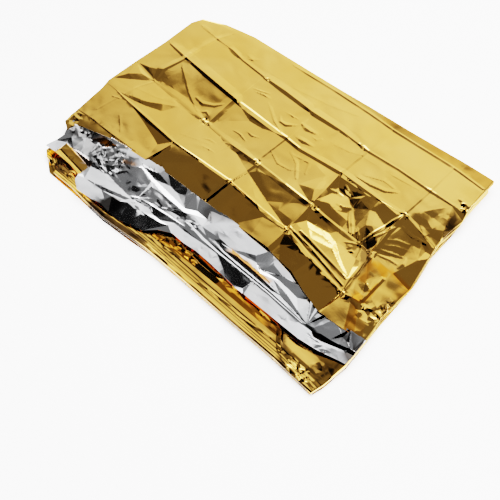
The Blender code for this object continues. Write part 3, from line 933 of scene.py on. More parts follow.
# %% Amber valley between the ribs and the silver edge
VALLEY_LINES = (            # (x, y, height over the floor)
    # shoulder of the amber valley
    ((-340, -251, 17.5), (-262, -258, 17.2), (-180, -266, 17.2), (-110, -260, 18.6),
     (-30, -254, 19), (120, -250, 18.9), (275, -248, 18.8), (318, -250, 18.8), (360, -252, 18.4),
     (400, -250, 15)),
    # its far side, by turns steep and easy
    ((-340, -247, 17), (-180, -262, 16.5), (-110, -255, 19.2), (-30, -243, 20.6),
     (30, -239, 20.8), (52, -240, 21), (66, -240, 21.6), (112, -239, 21.6), (124, -240, 19.6),
     (168, -240, 19.5), (206, -241, 19.6), (240, -242, 19.4), (275, -243, 19.2), (295, -240, 18),
     (318, -238, 17.4), (360, -238, 17.1), (398, -236, 17)),
    # bottom of the valley
    ((-340, -244, 17), (-180, -258, 16), (-110, -251, 19.6), (-30, -236, 20.9), (30, -231, 21.2),
     (52, -232, 19), (66, -232, 18.6), (112, -231, 18.6), (124, -232, 19.6), (168, -233, 19.3),
     (206, -234, 19.5), (240, -235, 19.4), (275, -236, 19), (295, -232, 17.2), (318, -231, 16.8),
     (350, -226, 16.4), (396, -222, 19)),
    # under the silver edge
    ((-343, -241, 19), (-263, -250, 18), (-164, -249, 16), (-80, -242, 20), (-42, -226, 22),
     (30, -211, 23.5), (97, -213, 21), (120, -214, 23.8), (230, -215, 23.4), (303, -219, 18),
     (348, -208, 17.5), (397, -194, 20)),
)
LOWER_LINES = (NEAR_LIP, BLACK_BAND_TOP) + RIB_LINES + VALLEY_LINES
print("lower gold layer:", len(LOWER_LINES), "lines")

# %% Knots and marks of the lower gold layer
LOWER_KNOTS = (             # as the knots of the silver layer
    (-314, -276, 60, 18, (10, 5), 2.2),
    (-284, -274, 30, 20, (7, 5), 2.0),
    (-150, -272, 70, 12, (12, 5), 1.2),
    (-30, -254, 120, 24, (14, 6), 1.5),
    (26, -240, 96, 22, (11, 6), 1.8),
    (140, -236, 70, 14, (12, 6), 1.4),
    (226, -238, 100, 16, (12, 6), 1.5),
    (352, -272, 84, 28, (9, 7), 2.8),
    (376, -238, 44, 24, (10, 8), 1.2),
)
LOWER_SEED = 80
LOWER_MARKS = (
    # dark fold across
    ((275, -234, 1.6, 9, 4), (284, -246, 2.6, 9, 4), (300, -262, 2.0, 9, 4)),
    # faint creases along the ribs
    ((90, -270, 0.3, 3, 3), (130, -266, 0.8, 4, 4), (170, -262, 0.3, 3, 3)),
    ((190, -268, 0.3, 3, 3), (236, -262, 0.8, 4, 4), (270, -257, 0.3, 3, 3)),
)
PUCKERS = tuple(((x, -228, 0.2, 3, 3), (x - 3, -216, 1.2, 3, 3)) for x in range(300, 346, 7))
LOWER_MARKS += PUCKERS
print("lower gold layer:", len(LOWER_KNOTS), "knots,", len(LOWER_MARKS), "marks")

# %% Strips ruled between the lines
LEAST_GAP = 0.0003          # metres between neighbouring lines


def ruled(x, y, lines):
    """Height of straight strips ruled between a family of lines (x, y, height), in millimetres.

    At each x the lines are points of a section. The height starts on the first line, and each
    strip adds its own rise in proportion to how far across it the point lies. The second value
    given back is the y of the last line.
    """
    tables = [np.array(line, float) * MM for line in lines]
    ahead = np.interp(x, tables[0][:, 0], tables[0][:, 1])
    level = np.interp(x, tables[0][:, 0], tables[0][:, 2])
    height = level.copy()
    for table in tables[1:]:
        behind, below = ahead, level
        ahead = np.maximum(np.interp(x, table[:, 0], table[:, 1]), behind + LEAST_GAP)
        level = np.interp(x, table[:, 0], table[:, 2])
        height += (level - below) * np.clip((y - behind) / (ahead - behind), 0.0, 1.0)
    return height, ahead


print("height of the ribs at x = 0, m:", ruled(np.zeros(1), np.full(1, -0.27), LOWER_LINES)[0])

# %% [markdown]
# ## Patches of painted reflection and painted shade
#
# Where gold film faces gold film, the light is mirrored again and again and turns amber. Where a
# gap is narrow, no light gets in and it looks black. A render with many bounces shows some of
# this, but not between layers that are a hair apart. So each such place gets an outline and a
# strength, stored as an attribute on the points, and the material paints that amber reflection or
# that black shade into its colour by it.

# %% Painted amber reflections, where the film mirrors its own gold
MAROON_BAND = ((294, 3), (301, -32), (307, -58), (324, -54), (304, -14))
# Painted reflection: amber mixed into the gold's colour where film would mirror its own gold.
PAINTED_AMBER_REFLECTIONS = (                   # (x, y) outlines with a strength, in millimetres
    (1.0, ((300, -3), (320, -14), (341, -19), (340, 0), (318, 3))),
    (0.8, ((338, 4), (350, -3), (394, -6), (392, 4), (352, 8))),
    (0.9, ((322, -78), (338, -76), (346, -92), (336, -98), (322, -95))),
    (0.8, ((326, -98), (350, -106), (384, -158), (362, -164), (332, -107))),
    (0.7, ((342, -24), (349, -60), (350, -90), (343, -88), (338, -50))),
    (0.9, MAROON_BAND),
    (0.35, ((352, -106), (384, -124), (394, -156), (380, -154))),
    # far strip, which faces the floor
    (0.3, ((90, 274), (190, 279), (262, 283), (352, 284), (362, 320), (60, 320))),
    # on the lower gold layer
    (0.85, ((-70, -262), (-20, -258), (40, -252), (110, -250), (120, -230), (200, -231),
           (280, -232), (288, -246), (200, -250), (120, -250), (60, -251), (50, -236),
           (-12, -240), (-60, -254))),
)
# Painted reflection of gold in the silver: amber mixed into its colour.
PAINTED_GLEAM = (                   # the same on the silver side
    (1.0, ((-318, -190), (-297, -168), (-263, -167), (-280, -183), (-302, -185))),
    (0.6, ((-228, -180), (-204, -168), (-194, -173), (-222, -187))),
    (0.9, ((88, -177), (190, -178), (196, -183), (90, -183))),
    (0.5, ((-330, -233), (-268, -229), (-267, -241), (-328, -237))),
)
print("amber patches:", len(PAINTED_AMBER_REFLECTIONS), "on the gold side,", len(PAINTED_GLEAM), "on the silver side")

# %% Painted shade of the gold side
# Painted shade and painted dark reflections: near black mixed into the gold's colour.
PAINTED_SHADE_GOLD = (               # film that mirrors the dark side of the room
    # near fold
    (0.95, ((-217, -298), (-163, -300), (-123, -296), (-87, -292), (-43, -287), (-50, -276),
            (-87, -280), (-123, -285), (-163, -289), (-205, -288))),
    (0.8, ((90, -288), (193, -291), (299, -288), (299, -281.5), (193, -284), (90, -284.5))),
    # under the silver edge
    (0.85, ((-100, -252), (-40, -226), (27, -225), (160, -227), (240, -229), (311, -228),
            (345, -221), (392, -208), (396, -190), (340, -198), (300, -203),
            (-40, -200), (-100, -232))),
    # in the amber valley
    (0.6, ((32, -236), (60, -233), (87, -235), (84, -243), (40, -243))),
    (0.7, ((230, -240), (270, -233), (277, -243), (255, -247))),
    (0.8, ((273, -233), (283, -232), (300, -248), (314, -253), (314, -266), (300, -262),
           (283, -245))),
    # near end
    (0.5, ((359, -259), (368, -228), (390, -215), (381, -256))),
    (0.85, ((394, -202), (398, -202), (395, -232), (389, -263), (384, -263), (390, -232))),
    (0.85, ((306, -270), (316, -274), (340, -284), (389, -283), (395, -288), (340, -293),
            (303, -284))),
    # pocket at the left end
    (0.9, ((-336, -280), (-319, -272), (-293, -283), (-293, -293), (-314, -292))),
    (0.8, ((-296, -275), (-288, -278), (-280, -294), (-287, -296))),
    (0.75, ((-352, -256), (-330, -250), (-285, -272), (-300, -282), (-345, -272))),
    # slivers and bands at the right end
    (0.7, ((241, 43), (262, 9), (275, -11), (293, -35), (305, -55), (301, -32), (292, 1),
           (281, 11), (249, 39))),
    (0.55, MAROON_BAND),
    (0.3, ((324, -54), (338, -94), (347, -90), (330, -40), (316, -18))),
    (0.4, ((326, -98), (346, -102), (384, -158), (362, -164), (332, -110))),
    (0.6, ((369, -61), (368, -41), (384, -45), (391, -77))),
    # below the turned corner
    (0.6, ((-368, -262), (-350, -249), (-340, -256), (-356, -272))),
    # wedge at the far right
    (0.85, ((336, 198), (366, 186), (380, 170), (374, 114), (357, 144))),
)
print("painted gold shade patches:", len(PAINTED_SHADE_GOLD))

# %% Painted shade of the silver side, and the corner that is turned over
# Painted shade and painted dark reflections: near black mixed into the silver's colour.
PAINTED_SHADE_SILVER = (             # the same on the silver side
    (0.95, ((313, -195), (333, -192), (353, -189), (371, -184), (391, -177), (399, -172),
            (396, -181), (378, -189), (360, -195), (340, -203), (326, -205), (316, -199))),
    (0.45, ((355, -185), (364, -170), (370, -156), (391, -174), (373, -181))),
    (0.5, ((372, -150), (392, -147), (396, -171), (384, -162))),
    (0.9, ((396, -146), (409, -150), (410, -168), (400, -175))),
    (0.85, ((386, -187), (396, -176), (412, -164), (420, -187), (411, -200), (394, -197))),
    (0.5, ((-22, -128), (50, -127), (6, -163), (-20, -160))),
    (0.3, ((-330, -192), (-300, -192), (-262, -176), (-205, -156), (-190, -165), (-202, -190),
           (-240, -215), (-290, -226), (-306, -228))),
    (0.45, ((-391, -205), (-376, -197), (-340, -172), (-313, -172), (-310, -186), (-330, -196),
            (-349, -214))),
    (0.8, ((-188, -284), (-174, -254), (-150, -254), (-132, -278), (-150, -290), (-180, -288))),
)
TURNED = (                  # a corner turned over, gold side up
    (1.0, ((-348, -268), (-349, -232), (-328, -234), (-267, -242), (-268, -276))),
)
PATCHES = {"painted_amber_reflection": PAINTED_AMBER_REFLECTIONS, "gleam": PAINTED_GLEAM, "turned": TURNED, "painted_shade_gold": PAINTED_SHADE_GOLD,
           "painted_shade_silver": PAINTED_SHADE_SILVER}
print("patches:", {name: len(patches) for name, patches in PATCHES.items()})


# %% Which points a patch holds
def inside_outline(x, y, outline):
    """True inside an outline of (x, y) points, in millimetres.

    A line drawn from an inside point towards +X crosses the outline an odd number of times.
    """
    corners = np.array(outline, float) * MM
    inside = np.zeros(x.shape, bool)
    for (ax, ay), (bx, by) in zip(corners, np.roll(corners, -1, axis=0)):
        if ay != by:
            crosses = (ay > y) != (by > y)
            inside ^= crosses & (x < ax + (bx - ax) * (y - ay) / (by - ay))
    return inside


def patch_share(x, y, patches):
    """Strength of the patch that each point is in, 0 outside them."""
    share = np.zeros_like(x)
    for strength, outline in patches:
        share = np.where(inside_outline(x, y, outline), strength, share)
    return share


print("amber at x = 0.32, y = -0.01:", patch_share(np.array([0.32]), np.array([-0.01]), PAINTED_AMBER_REFLECTIONS))

# %% [markdown]
# ## The whole sheet
#
# The real blanket is one piece, so the mesh is one grid too. One way through the grid goes along
# the top layer to the fold at the right end, round it, and back along the layer below. The other
# way goes from the cut edge over the panel, round the far fold, back, and so on down the stack.
# Eight separate sheets would be easier, but their folds would be open. Steps are short where the
# film shows its creases and long inside the stack.

# %% Stations along the sheet
def spread(knots, counts, gather=0.0):
    """Numbers that run through the knots, with a count of steps between each pair.

    With gather at 0 the steps are equal, and above 0 they are closer near the knots.
    """
    parts = []
    for first, second, count in zip(knots, knots[1:], counts):
        share = np.linspace(0.0, 1.0, count, endpoint=False)
        share = share - gather * np.sin(2 * np.pi * share) / (2 * np.pi)
        parts.append(first + (second - first) * share)
    return np.concatenate(parts + [[knots[-1]]])


DETAIL = 1.0
GATHER = 0.5                # how far the steps draw together at the creases
CROSS_STEPS = [round(count * DETAIL) for count in (42, 118, 116, 112, 124, 80)]
TURN_STEPS = 8

outward = spread(range(LAST_LINE + 1), CROSS_STEPS, GATHER)
turn_angle = np.linspace(0.0, np.pi, TURN_STEPS + 1)[1:-1]
at_turn = np.full(len(turn_angle), float(LAST_LINE))
station_number = np.concatenate([outward, at_turn, outward[::-1]])
station_side = np.concatenate([np.ones(len(outward)), np.cos(turn_angle), -np.ones(len(outward))])
station_past = np.concatenate([np.zeros(len(outward)), np.sin(turn_angle), np.zeros(len(outward))])
print("stations along the sheet:", len(station_number))

# %% Lines of the plan, read at the stations
ROUNDS = 3                  # times that x and y are worked out by turns
PLAN_GUESS = -0.1           # metres of y


def station_x(y):
    """The x of every station at its y, less what the fold at the right end bulges past it."""
    return (between_lines(CROSSWISE_LINES, station_number, y)
            - HALF_GAP * station_number / LAST_LINE)


def settled(y_at, guess):
    """The y at every station of a line that is a function of x.

    A station's x depends on its y too, so the two are worked out by turns, a few times over.
    """
    y = np.full_like(station_number, guess)
    for _ in range(ROUNDS):
        y = y_at(station_x(y))
    return y


def line_y(points):
    """The y at every station of one given line."""
    return settled(lambda x: line_at(points, x), 0.0)


def plan_y(number):
    """The y at every station of a lengthwise line of the plan, or of one between two of them."""
    return settled(lambda x: between_lines(LENGTHWISE_LINES, np.full_like(x, number), x),
                   PLAN_GUESS)


print("crease 2 at the left end, m:", plan_y(3)[0].round(3))

# %% The top panel, from its cut edge to the far fold
LENGTH_STEPS = [round(count * DETAIL) for count in (160, 62, 68, 64, 56, 16)]
# Middle heights of the four double layers, from the top one down.
MIDDLES = [LAYER_STEP * (TOP_LEVEL - 0.5 - 2 * panel) for panel in range(4)]
FOLD_REACH = BEND_RADIUS + HALF_GAP     # from the centre of a fold to its outside
LEAST_STEP = 0.0005         # metres by which the lines keep off the fold, per line of the plan
OFFSET = HALF_GAP * station_side        # of each layer from the middle of the double layer


def top_panel(limit):
    """Lines of the top panel, which follow the plan up to a limit, as (y, height) pairs.

    The layer below starts further out, so up to the first crease its lines are shifted in
    proportion.
    """
    edge, second = line_y(LENGTHWISE["gold_cut_edge"]), line_y(SECOND_END)
    start = (edge + second) / 2 + (edge - second) / 2 * station_side
    lines = []
    for number in spread(range(LAST_LINE + 1), LENGTH_STEPS, GATHER)[:-1]:
        y = plan_y(number) + (start - edge) * (1 - min(number, 1.0))
        y = np.minimum(y, limit - (LAST_LINE - number) * LEAST_STEP)
        lines.append((y, MIDDLES[0] + OFFSET))
    return lines


print("middles of the four panels, mm:", [round(middle / MM, 1) for middle in MIDDLES])

# %% The folds and the panels below
ROUNDNESS = 0.4             # of the folds, which are pressed nearly flat
FOLDS = (                   # line of the fold, side of its bulge, steps, lean of its underside
    (LENGTHWISE["far_fold"], 1, 8, 0.0),
    (NEAR_FOLD, -1, 12, 0.012),
    (LOWER_FAR_FOLD, 1, 6, 0.0),
)
PANEL_SHARES = (            # the steps of panels 2 to 4, as shares of the way across
    spread((0.0, 0.86, 1.0), (8, round(84 * DETAIL)))[:-1],
    spread((0.0, 1.0), (8,))[:-1],
    spread((0.0, 0.95, 1.0), (8, 14)),
)


def pressed_fold(centre, top, side, steps, lean):
    """Lines round a fold, as (y, height) pairs: a half circle pressed nearly flat.

    Round a half circle y = centre + side * radius * sin(angle). Its bulge is drawn in to a share
    of that, and its underside leans in besides.
    """
    radius = BEND_RADIUS + side * OFFSET
    lines = []
    for angle in np.linspace(0.0, np.pi, steps, endpoint=False):
        y = centre + side * radius * np.sin(angle)
        height = top - radius + radius * np.cos(angle)
        inward = lean * (top - height) / (2 * radius)
        lines.append((centre + (y - centre) * ROUNDNESS + inward, height))
    return lines


def stack_lines():
    """Every line of the sheet across the stack, from its top cut edge to its last edge."""
    reaches = [line_y(line) for line, _, _, _ in FOLDS]
    goals = [reach + side * FOLD_REACH * ROUNDNESS
             for reach, (_, side, _, _) in zip(reaches[1:], FOLDS)]
    goals.append(line_y(LOW_END))
    lines = top_panel(reaches[0] - FOLD_REACH)
    for index, (_, side, steps, lean) in enumerate(FOLDS):
        centre = reaches[index] - side * FOLD_REACH * ROUNDNESS
        lines += pressed_fold(centre, MIDDLES[index] + side * OFFSET, side, steps, lean)
        centre = centre + lean
        height = MIDDLES[index + 1] - side * OFFSET
        lines += [(centre + (goals[index] - centre) * share, height)
                  for share in PANEL_SHARES[index]]
    return lines


print("steps of panels 2 to 4:", [len(shares) for shares in PANEL_SHARES])

# %% Heights of the silver layer and of the lower gold layer
SILVER_TILT = 0.045         # the silver layer rises towards its cut edge
TILT_FROM = -0.13           # metres of y from which it rises
EDGE_INSET = 0.0005         # metres by which its facets stop short of the line under the gold
HIDDEN = 0.004              # metres outside that line from which it stays below the gold
SILVER_RUN = 0.05           # metres over which it joins the plain stack, under the gold
LOWER_RUN = 0.03            # the same for the lower gold layer, under the silver


def laid_over(z, y, held, line, run):
    """Join a held height to the plain stack, over a run beyond a line.

    The weight of the held height is w * w * (3 - 2 * w), which starts and ends level.
    """
    weight = np.clip(1.0 - (y - line) / run, 0.0, 1.0)
    weight = weight * weight * (3 - 2 * weight)
    weight = np.where(np.isnan(held), 0.0, weight)
    return z + (np.nan_to_num(held) - z) * weight


def silver_height(x, y, z, ceiling):
    """Height of the silver layer, which follows its own facets and stays under a ceiling."""
    edge = line_at(SILVER_FOLDS["under_gold_edge"], x)
    held = folded(x, np.minimum(y, edge - EDGE_INSET), SILVER_FOLDS)
    held += crumples(x, y, SILVER_KNOTS, SILVER_SEED)
    held = held + SILVER_TILT * np.maximum(TILT_FROM - y, 0)
    laid = laid_over(z, y, held, edge, SILVER_RUN)
    return np.where(y > edge - HIDDEN, np.minimum(laid, ceiling), laid)


def lower_height(x, y, z):
    """Height of the lower gold layer, which follows its ribs."""
    held, line = ruled(x, y, LOWER_LINES)
    held += crumples(x, y, LOWER_KNOTS, LOWER_SEED) + rows(x, y, LOWER_MARKS)
    return laid_over(z, y, held, line, LOWER_RUN)


print("silver at x = 0, y = -0.2, m:",
      silver_height(np.zeros(1), np.full(1, -0.2), np.full(1, 0.03), np.full(1, 0.04)))

# %% The surface
PRESS_FROM = -0.09          # metres of y from which the lower layers are pressed together
PRESS_RUN = 0.08            # metres over which that grows
PRESS = ((4, 5, 6), (0.45, 0.62, 1.0))  # levels, and the share of their height that is left
CLEARANCE = 0.0012          # metres between the top layer and the silver one


def on_level(level, number):
    """How much each point belongs to one level, and which points do at all."""
    weight = np.clip(1.0 - np.abs(level - number), 0.0, 1.0)
    shown = np.nonzero(weight > 0)
    return weight[shown], shown


def blanket_points():
    """Every point of the sheet, as a grid of (x, y, z).

    Across the stack, each station follows the four panels and their three folds. Along the sheet,
    x comes from the cross creases and y from the lengthwise ones. Height is the level of the layer
    times the fullness of the stack there, and the relief of that level is added.
    """
    lines = [(station_x(y) + station_past * HALF_GAP, y, height) for y, height in stack_lines()]
    x, y, height = (np.stack(part) for part in zip(*lines))
    fullness = share_at(FULLNESS_ALONG, x) * share_at(FULLNESS_ACROSS, y)
    level = height / LAYER_STEP
    near = np.clip((PRESS_FROM - y) / PRESS_RUN, 0.0, 1.0)
    squash = 1.0 - near * (1.0 - np.interp(level, *PRESS))
    bend = broad_height(x, y) + np.nan_to_num(folded(x, y, TOP_FOLDS))
    z = FIRST_HEIGHT + height * fullness * squash + bend * level / TOP_LEVEL
    under_top = FIRST_HEIGHT + LAYER_STEP * TOP_LEVEL * fullness + bend - CLEARANCE

    weight, shown = on_level(level, TOP_LEVEL)
    z[shown] += weight * top_relief(x[shown], y[shown])
    weight, shown = on_level(level, TOP_LEVEL - 1)
    laid = silver_height(x[shown], y[shown], z[shown], under_top[shown])
    z[shown] += weight * (laid - z[shown])
    weight, shown = on_level(level, TOP_LEVEL - 2)
    laid = lower_height(x[shown], y[shown], z[shown])
    z[shown] += weight * (laid - z[shown])
    return np.stack([x, y, z], -1)


points = blanket_points()
print("points across the sheet and along it:", points.shape[:2])

# %% [markdown]
# ## Into Blender
#
# A mesh of even little squares wastes most of them on flat facets. The Decimate modifier takes out
# points where the film is flat and keeps them along the folds. Film is so thin that its thickness
# hardly shows, but a sheet with no thickness has only one face. The Solidify modifier gives it a
# second one, which takes the second material: silver inside, gold outside.

# %% Build the sheet
TRIANGLES = 96000           # left on one side of the film
FILM_THICKNESS = 0.0003     # metres


def grid_mesh(name, points):
    """A mesh of quads on a grid of points, as arrays."""
    row_count, column_count = points.shape[:2]
    index = np.arange(row_count * column_count).reshape(row_count, column_count)
    quads = np.stack([index[:-1, :-1], index[:-1, 1:], index[1:, 1:], index[1:, :-1]], -1)
    quads = quads.reshape(-1, 4)
    mesh = bpy.data.meshes.new(name)
    mesh.vertices.add(row_count * column_count)
    mesh.vertices.foreach_set("co", points.reshape(-1).astype(np.float32))
    mesh.loops.add(quads.size)
    mesh.loops.foreach_set("vertex_index", quads.reshape(-1))
    mesh.polygons.add(len(quads))
    mesh.polygons.foreach_set("loop_start", np.arange(len(quads)) * 4)
    mesh.update(calc_edges=True)
    return mesh


mesh = grid_mesh("foil_blanket_film", points)
# Each patch table becomes an attribute: painted reflection, painted shade or the turned corner.
for name, patches in PATCHES.items():
    share = patch_share(points[..., 0], points[..., 1], patches)
    mesh.attributes.new(name, "FLOAT", "POINT").data.foreach_set("value", share.ravel())
blanket = bpy.data.objects.new("foil_blanket_film", mesh)
bpy.context.scene.collection.objects.link(blanket)
quads = len(mesh.polygons)
print("film:", quads, "squares")

# %% Thin it out and give it two faces
thin = blanket.modifiers.new("thin_out", "DECIMATE")
thin.ratio = min(1.0, TRIANGLES / (2 * quads))
film = blanket.modifiers.new("film", "SOLIDIFY")
film.thickness = FILM_THICKNESS
film.offset = 0.0
film.material_offset = 1
print("thinned out to", round(100 * thin.ratio), "% of the squares")

# %% [markdown]
# ## Shader maths
#
# Materials in Blender are nodes joined by links. Placing each Math node by hand makes long scripts,
# so one small class wraps a socket, and `+`, `-` and `*` on it add the nodes.

# %% Shader maths as Python expressions
class Socket:
    """A shader socket that can be added, multiplied and so on, each as a Math node."""

    def __init__(self, tree, source=None):
        self.tree = tree
        self.source = source

    def node(self, kind, settings=None, outlet=0, **values):
        """Any node: its type, its settings, then the values or links of its sockets.

        A socket is named by its label, with _ for a space, or by i and its number.
        """
        made = self.tree.nodes.new(kind)
        for name, value in (settings or {}).items():
            setattr(made, name, value)
        for name, value in values.items():
            socket = made.inputs[int(name[1:]) if name[1:].isdigit() else name.replace("_", " ")]
            if isinstance(value, Socket):
                value.feed(socket)
            else:
                socket.default_value = value
        return Socket(self.tree, made.outputs[outlet])

    def feed(self, socket):
        """Link this socket to an input of another node."""
        self.tree.links.new(self.source, socket)

    def math(self, operation, first, second):
        """One Math node."""
        return self.node("ShaderNodeMath", {"operation": operation}, i0=first, i1=second)

    def __add__(self, other):
        return self.math("ADD", self, other)

    def __radd__(self, other):
        return self.math("ADD", other, self)

    def __sub__(self, other):
        return self.math("SUBTRACT", self, other)

    def __rsub__(self, other):
        return self.math("SUBTRACT", other, self)

    def __mul__(self, other):
        return self.math("MULTIPLY", self, other)

    def __rmul__(self, other):
        return self.math("MULTIPLY", other, self)

    def ramp(self, low, high):
        """0 below the low value, 1 above the high one, and a smooth rise between them."""
        return self.node("ShaderNodeMapRange", {"interpolation_type": "SMOOTHSTEP"},
                         Value=self, From_Min=low, From_Max=high)

    def mix(self, first, second):
        """A colour between two, by this value."""
        return self.node("ShaderNodeMix", {"data_type": "RGBA"}, outlet=2,
                         Factor=self, i6=first, i7=second)


def principled(name):
    """A new material and its shader."""
    material = bpy.data.materials.new(name)
    material.use_nodes = True
    return material, material.node_tree.nodes["Principled BSDF"]


print("shader maths:", Socket.__doc__)

# %% [markdown]
# ## Gold and silver film
#
# Metallised film is a real mirror, so its material is metal with a low roughness, and its colour
# is what it mirrors. Nearly all of its look comes from the facets. Besides the patches of painted
# reflection and painted shade above, the material only adds what a flat facet still has: soft
# clouds of a slightly deeper colour, rubbed places, and a waviness of a millimetre or two, which
# is a bump.

# %% Gold and silver film
GOLD, DEEP_GOLD = (0.82, 0.465, 0.12, 1), (0.79, 0.43, 0.10, 1)
SILVER, DEEP_SILVER = (0.90, 0.90, 0.91, 1), (0.86, 0.87, 0.89, 1)
TURNED_GOLD = (0.80, 0.45, 0.11, 1)
# Colours of the patches: a painted amber reflection, and painted shade.
PAINTED_REFLECTION_COLOUR = (0.86, 0.33, 0.035, 1)
SHADE = (0.05, 0.03, 0.015, 1)
RUBBED = 0.04               # most that a rubbed place adds to the roughness
FINE_WAVES = 0.02           # height of the fine waves as a share of the broad ones
WAVE_HEIGHT = 0.0022        # metres


def film_material(name, colour, deeper, roughness, patches):
    """Metal film: two close colours in soft clouds, patches by attribute, and a slight waviness."""
    material, shader = principled(name)
    start = Socket(material.node_tree)
    place = start.node("ShaderNodeTexCoord", outlet=3)
    cloud = start.node("ShaderNodeTexNoise", Vector=place, Scale=9.0, Detail=3.0)
    shown = cloud.ramp(0.3, 0.7).mix(colour, deeper)
    # Painted reflections, painted shade and the turned gold corner go into the base colour.
    for attribute, patch_colour in patches:
        share = start.node("ShaderNodeAttribute", {"attribute_name": attribute}, outlet=2)
        shown = share.mix(shown, patch_colour)
    shown.feed(shader.inputs["Base Color"])
    rub = start.node("ShaderNodeTexNoise", Vector=place, Scale=60.0, Detail=3.0)
    (roughness + RUBBED * rub).feed(shader.inputs["Roughness"])
    wave = start.node("ShaderNodeTexNoise", Vector=place, Scale=14.0, Detail=1.0, Distortion=0.6)
    fine = start.node("ShaderNodeTexNoise", Vector=place, Scale=90.0, Detail=2.0)
    uneven = start.node("ShaderNodeBump", Height=wave + FINE_WAVES * fine, Strength=1.0,
                        Distance=WAVE_HEIGHT)
    uneven.feed(shader.inputs["Normal"])
    shader.inputs["Metallic"].default_value = 1.0
    return material


# Gold gets painted reflections and shade; silver its turned corner, painted gleams and shade.
gold = film_material("gold_film", GOLD, DEEP_GOLD, 0.05,
                     (("painted_amber_reflection", PAINTED_REFLECTION_COLOUR), ("painted_shade_gold", SHADE)))
silver = film_material("silver_film", SILVER, DEEP_SILVER, 0.08,
                       (("turned", TURNED_GOLD), ("gleam", PAINTED_REFLECTION_COLOUR), ("painted_shade_silver", SHADE)))
mesh.materials.append(gold)
mesh.materials.append(silver)
print("materials:", [material.name for material in mesh.materials])

# %% [markdown]
# ## Sharp facets
#
# Modifiers are a recipe, and the recipe is now carried out once, so that what follows is worked
# out on the final mesh. A fold in film is a sharp edge between two flat faces. All faces are
# shaded smooth, the edges that turn by more than 11 degrees are marked sharp, and the last modifier
# makes big faces rule the shading, so that each facet mirrors as one flat piece.

# %% Apply and finish the mesh
SHARP_TURN = 11             # degrees

graph = bpy.context.evaluated_depsgraph_get()
finished = bpy.data.meshes.new_from_object(blanket.evaluated_get(graph))
blanket.modifiers.clear()
blanket.data = finished
finished.name = "foil_blanket_film"
finished.polygons.foreach_set("use_smooth", np.ones(len(finished.polygons), bool))
finished.set_sharp_from_angle(angle=np.radians(SHARP_TURN))
even = blanket.modifiers.new("even_shading", "WEIGHTED_NORMAL")
even.keep_sharp = True
finished.calc_loop_triangles()
print("film:", len(finished.loop_triangles), "triangles")

# %% What the film stands for
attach(blanket, "root")
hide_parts("foil_blanket")
print(blanket.name, "is a folded sheet of 1.6 m by 2.1 m")

# %% [markdown]
# ## The studio
#
# Mirrors show the room more than themselves. On a big pale floor, the film would be lost in even
# light, so the room has soft boxes of several sizes with darkness between them. They are
# directions in the world's background and not lamps, because a background can be bright in one
# place and dark in the next with one sum of soft shapes.

# %% Floor
FLOOR_REACH = 6.0           # metres from the middle to each side
floor_mesh = bpy.data.meshes.new("floor")
floor_corners = [(-FLOOR_REACH, -FLOOR_REACH, 0), (FLOOR_REACH, -FLOOR_REACH, 0),
                 (FLOOR_REACH, FLOOR_REACH, 0), (-FLOOR_REACH, FLOOR_REACH, 0)]
floor_mesh.from_pydata(floor_corners, [], [(0, 1, 2, 3)])
floor = bpy.data.objects.new("floor", floor_mesh)
bpy.context.scene.collection.objects.link(floor)
floor_material, floor_shader = principled("pale_floor")
floor_shader.inputs["Base Color"].default_value = (0.86, 0.86, 0.86, 1)
floor_shader.inputs["Roughness"].default_value = 0.9
floor_shader.inputs["Specular IOR Level"].default_value = 0.1
floor_mesh.materials.append(floor_material)
print("floor:", 2 * FLOOR_REACH, "m square")

# %% Room: shapes of light seen in a direction
world = bpy.data.worlds.new("studio")
bpy.context.scene.world = world
world.use_nodes = True
room = Socket(world.node_tree)
backdrop = world.node_tree.nodes["Background"]
backdrop.inputs["Color"].default_value = (1, 1, 1, 1)
direction = room.node("ShaderNodeTexCoord", outlet=0)


def soft_box(centre, radius, edge):
    """1 inside a round soft box seen in a direction, 0 outside, in degrees.

    The cosine of the angle from its centre rises through the box's rim.
    """
    centre = Vector(centre).normalized()
    cosine = room.node("ShaderNodeVectorMath", {"operation": "DOT_PRODUCT"}, outlet=1,
                       i0=direction, i1=tuple(centre))
    return cosine.ramp(np.cos(np.radians(radius + edge)), np.cos(np.radians(radius - edge)))


def strip(axis, low, high, edge):
    """1 in a strip of directions between two values of one coordinate, 0 outside it."""
    value = room.node("ShaderNodeSeparateXYZ", outlet="XYZ".index(axis), Vector=direction)
    return value.ramp(low - edge, low + edge) * (1 - value.ramp(high - edge, high + edge))


def height_band(low, high, edge):
    """1 between two heights above the horizon, in degrees."""
    up = room.node("ShaderNodeSeparateXYZ", outlet=2, Vector=direction)
    sine = np.sin(np.radians((low - edge, low + edge, high - edge, high + edge)))
    return up.ramp(sine[0], sine[1]) * (1 - up.ramp(sine[2], sine[3]))


print("room:", world.name)

# %% Room: its lights and darks, as directions from the pack
WALLS = 0.19                            # brightness of the walls
BIG_BOX = (-0.369, 0.828, 0.4226)       # direction of the soft box that the gold mirrors
BIG_BOX_SIZE = (38.6, 2.0)              # its radius and edge, in degrees
BIG_BOX_LIGHT = (0.36, 0.22)            # its even light, and its uneven light
BIG_BOX_STEPS = (                       # what it gains step by step: strength, radius and edge
    (0.13, 42, 2.5),
    (0.52, 35, 5),
    (0.26, 24, 10),
)
DULL_SPOT = (0.22, (-0.55, 0.38, 0.74), 13, 10)     # share that it loses in one place
DARK_CEILING = (0.15, (0.372, -0.380, 0.847), 28, 14)
DARK_BEAM = (0.18, ("Y", -0.13, 0.08, 0.03), ("Z", 0.3, 1.2, 0.05))     # strength, and two strips
LOW_LIGHT = (5.0, (-0.35, 0.9, 0.1), 40, 8)         # behind the pack, just over the floor
LOW_LIGHT_BAND = (4, 22, 4)             # heights that it lies between, and their edge
SILVER_BOX = (1.1, (-0.36, -0.42, 0.83), 17, 2)     # the soft box that the silver mirrors
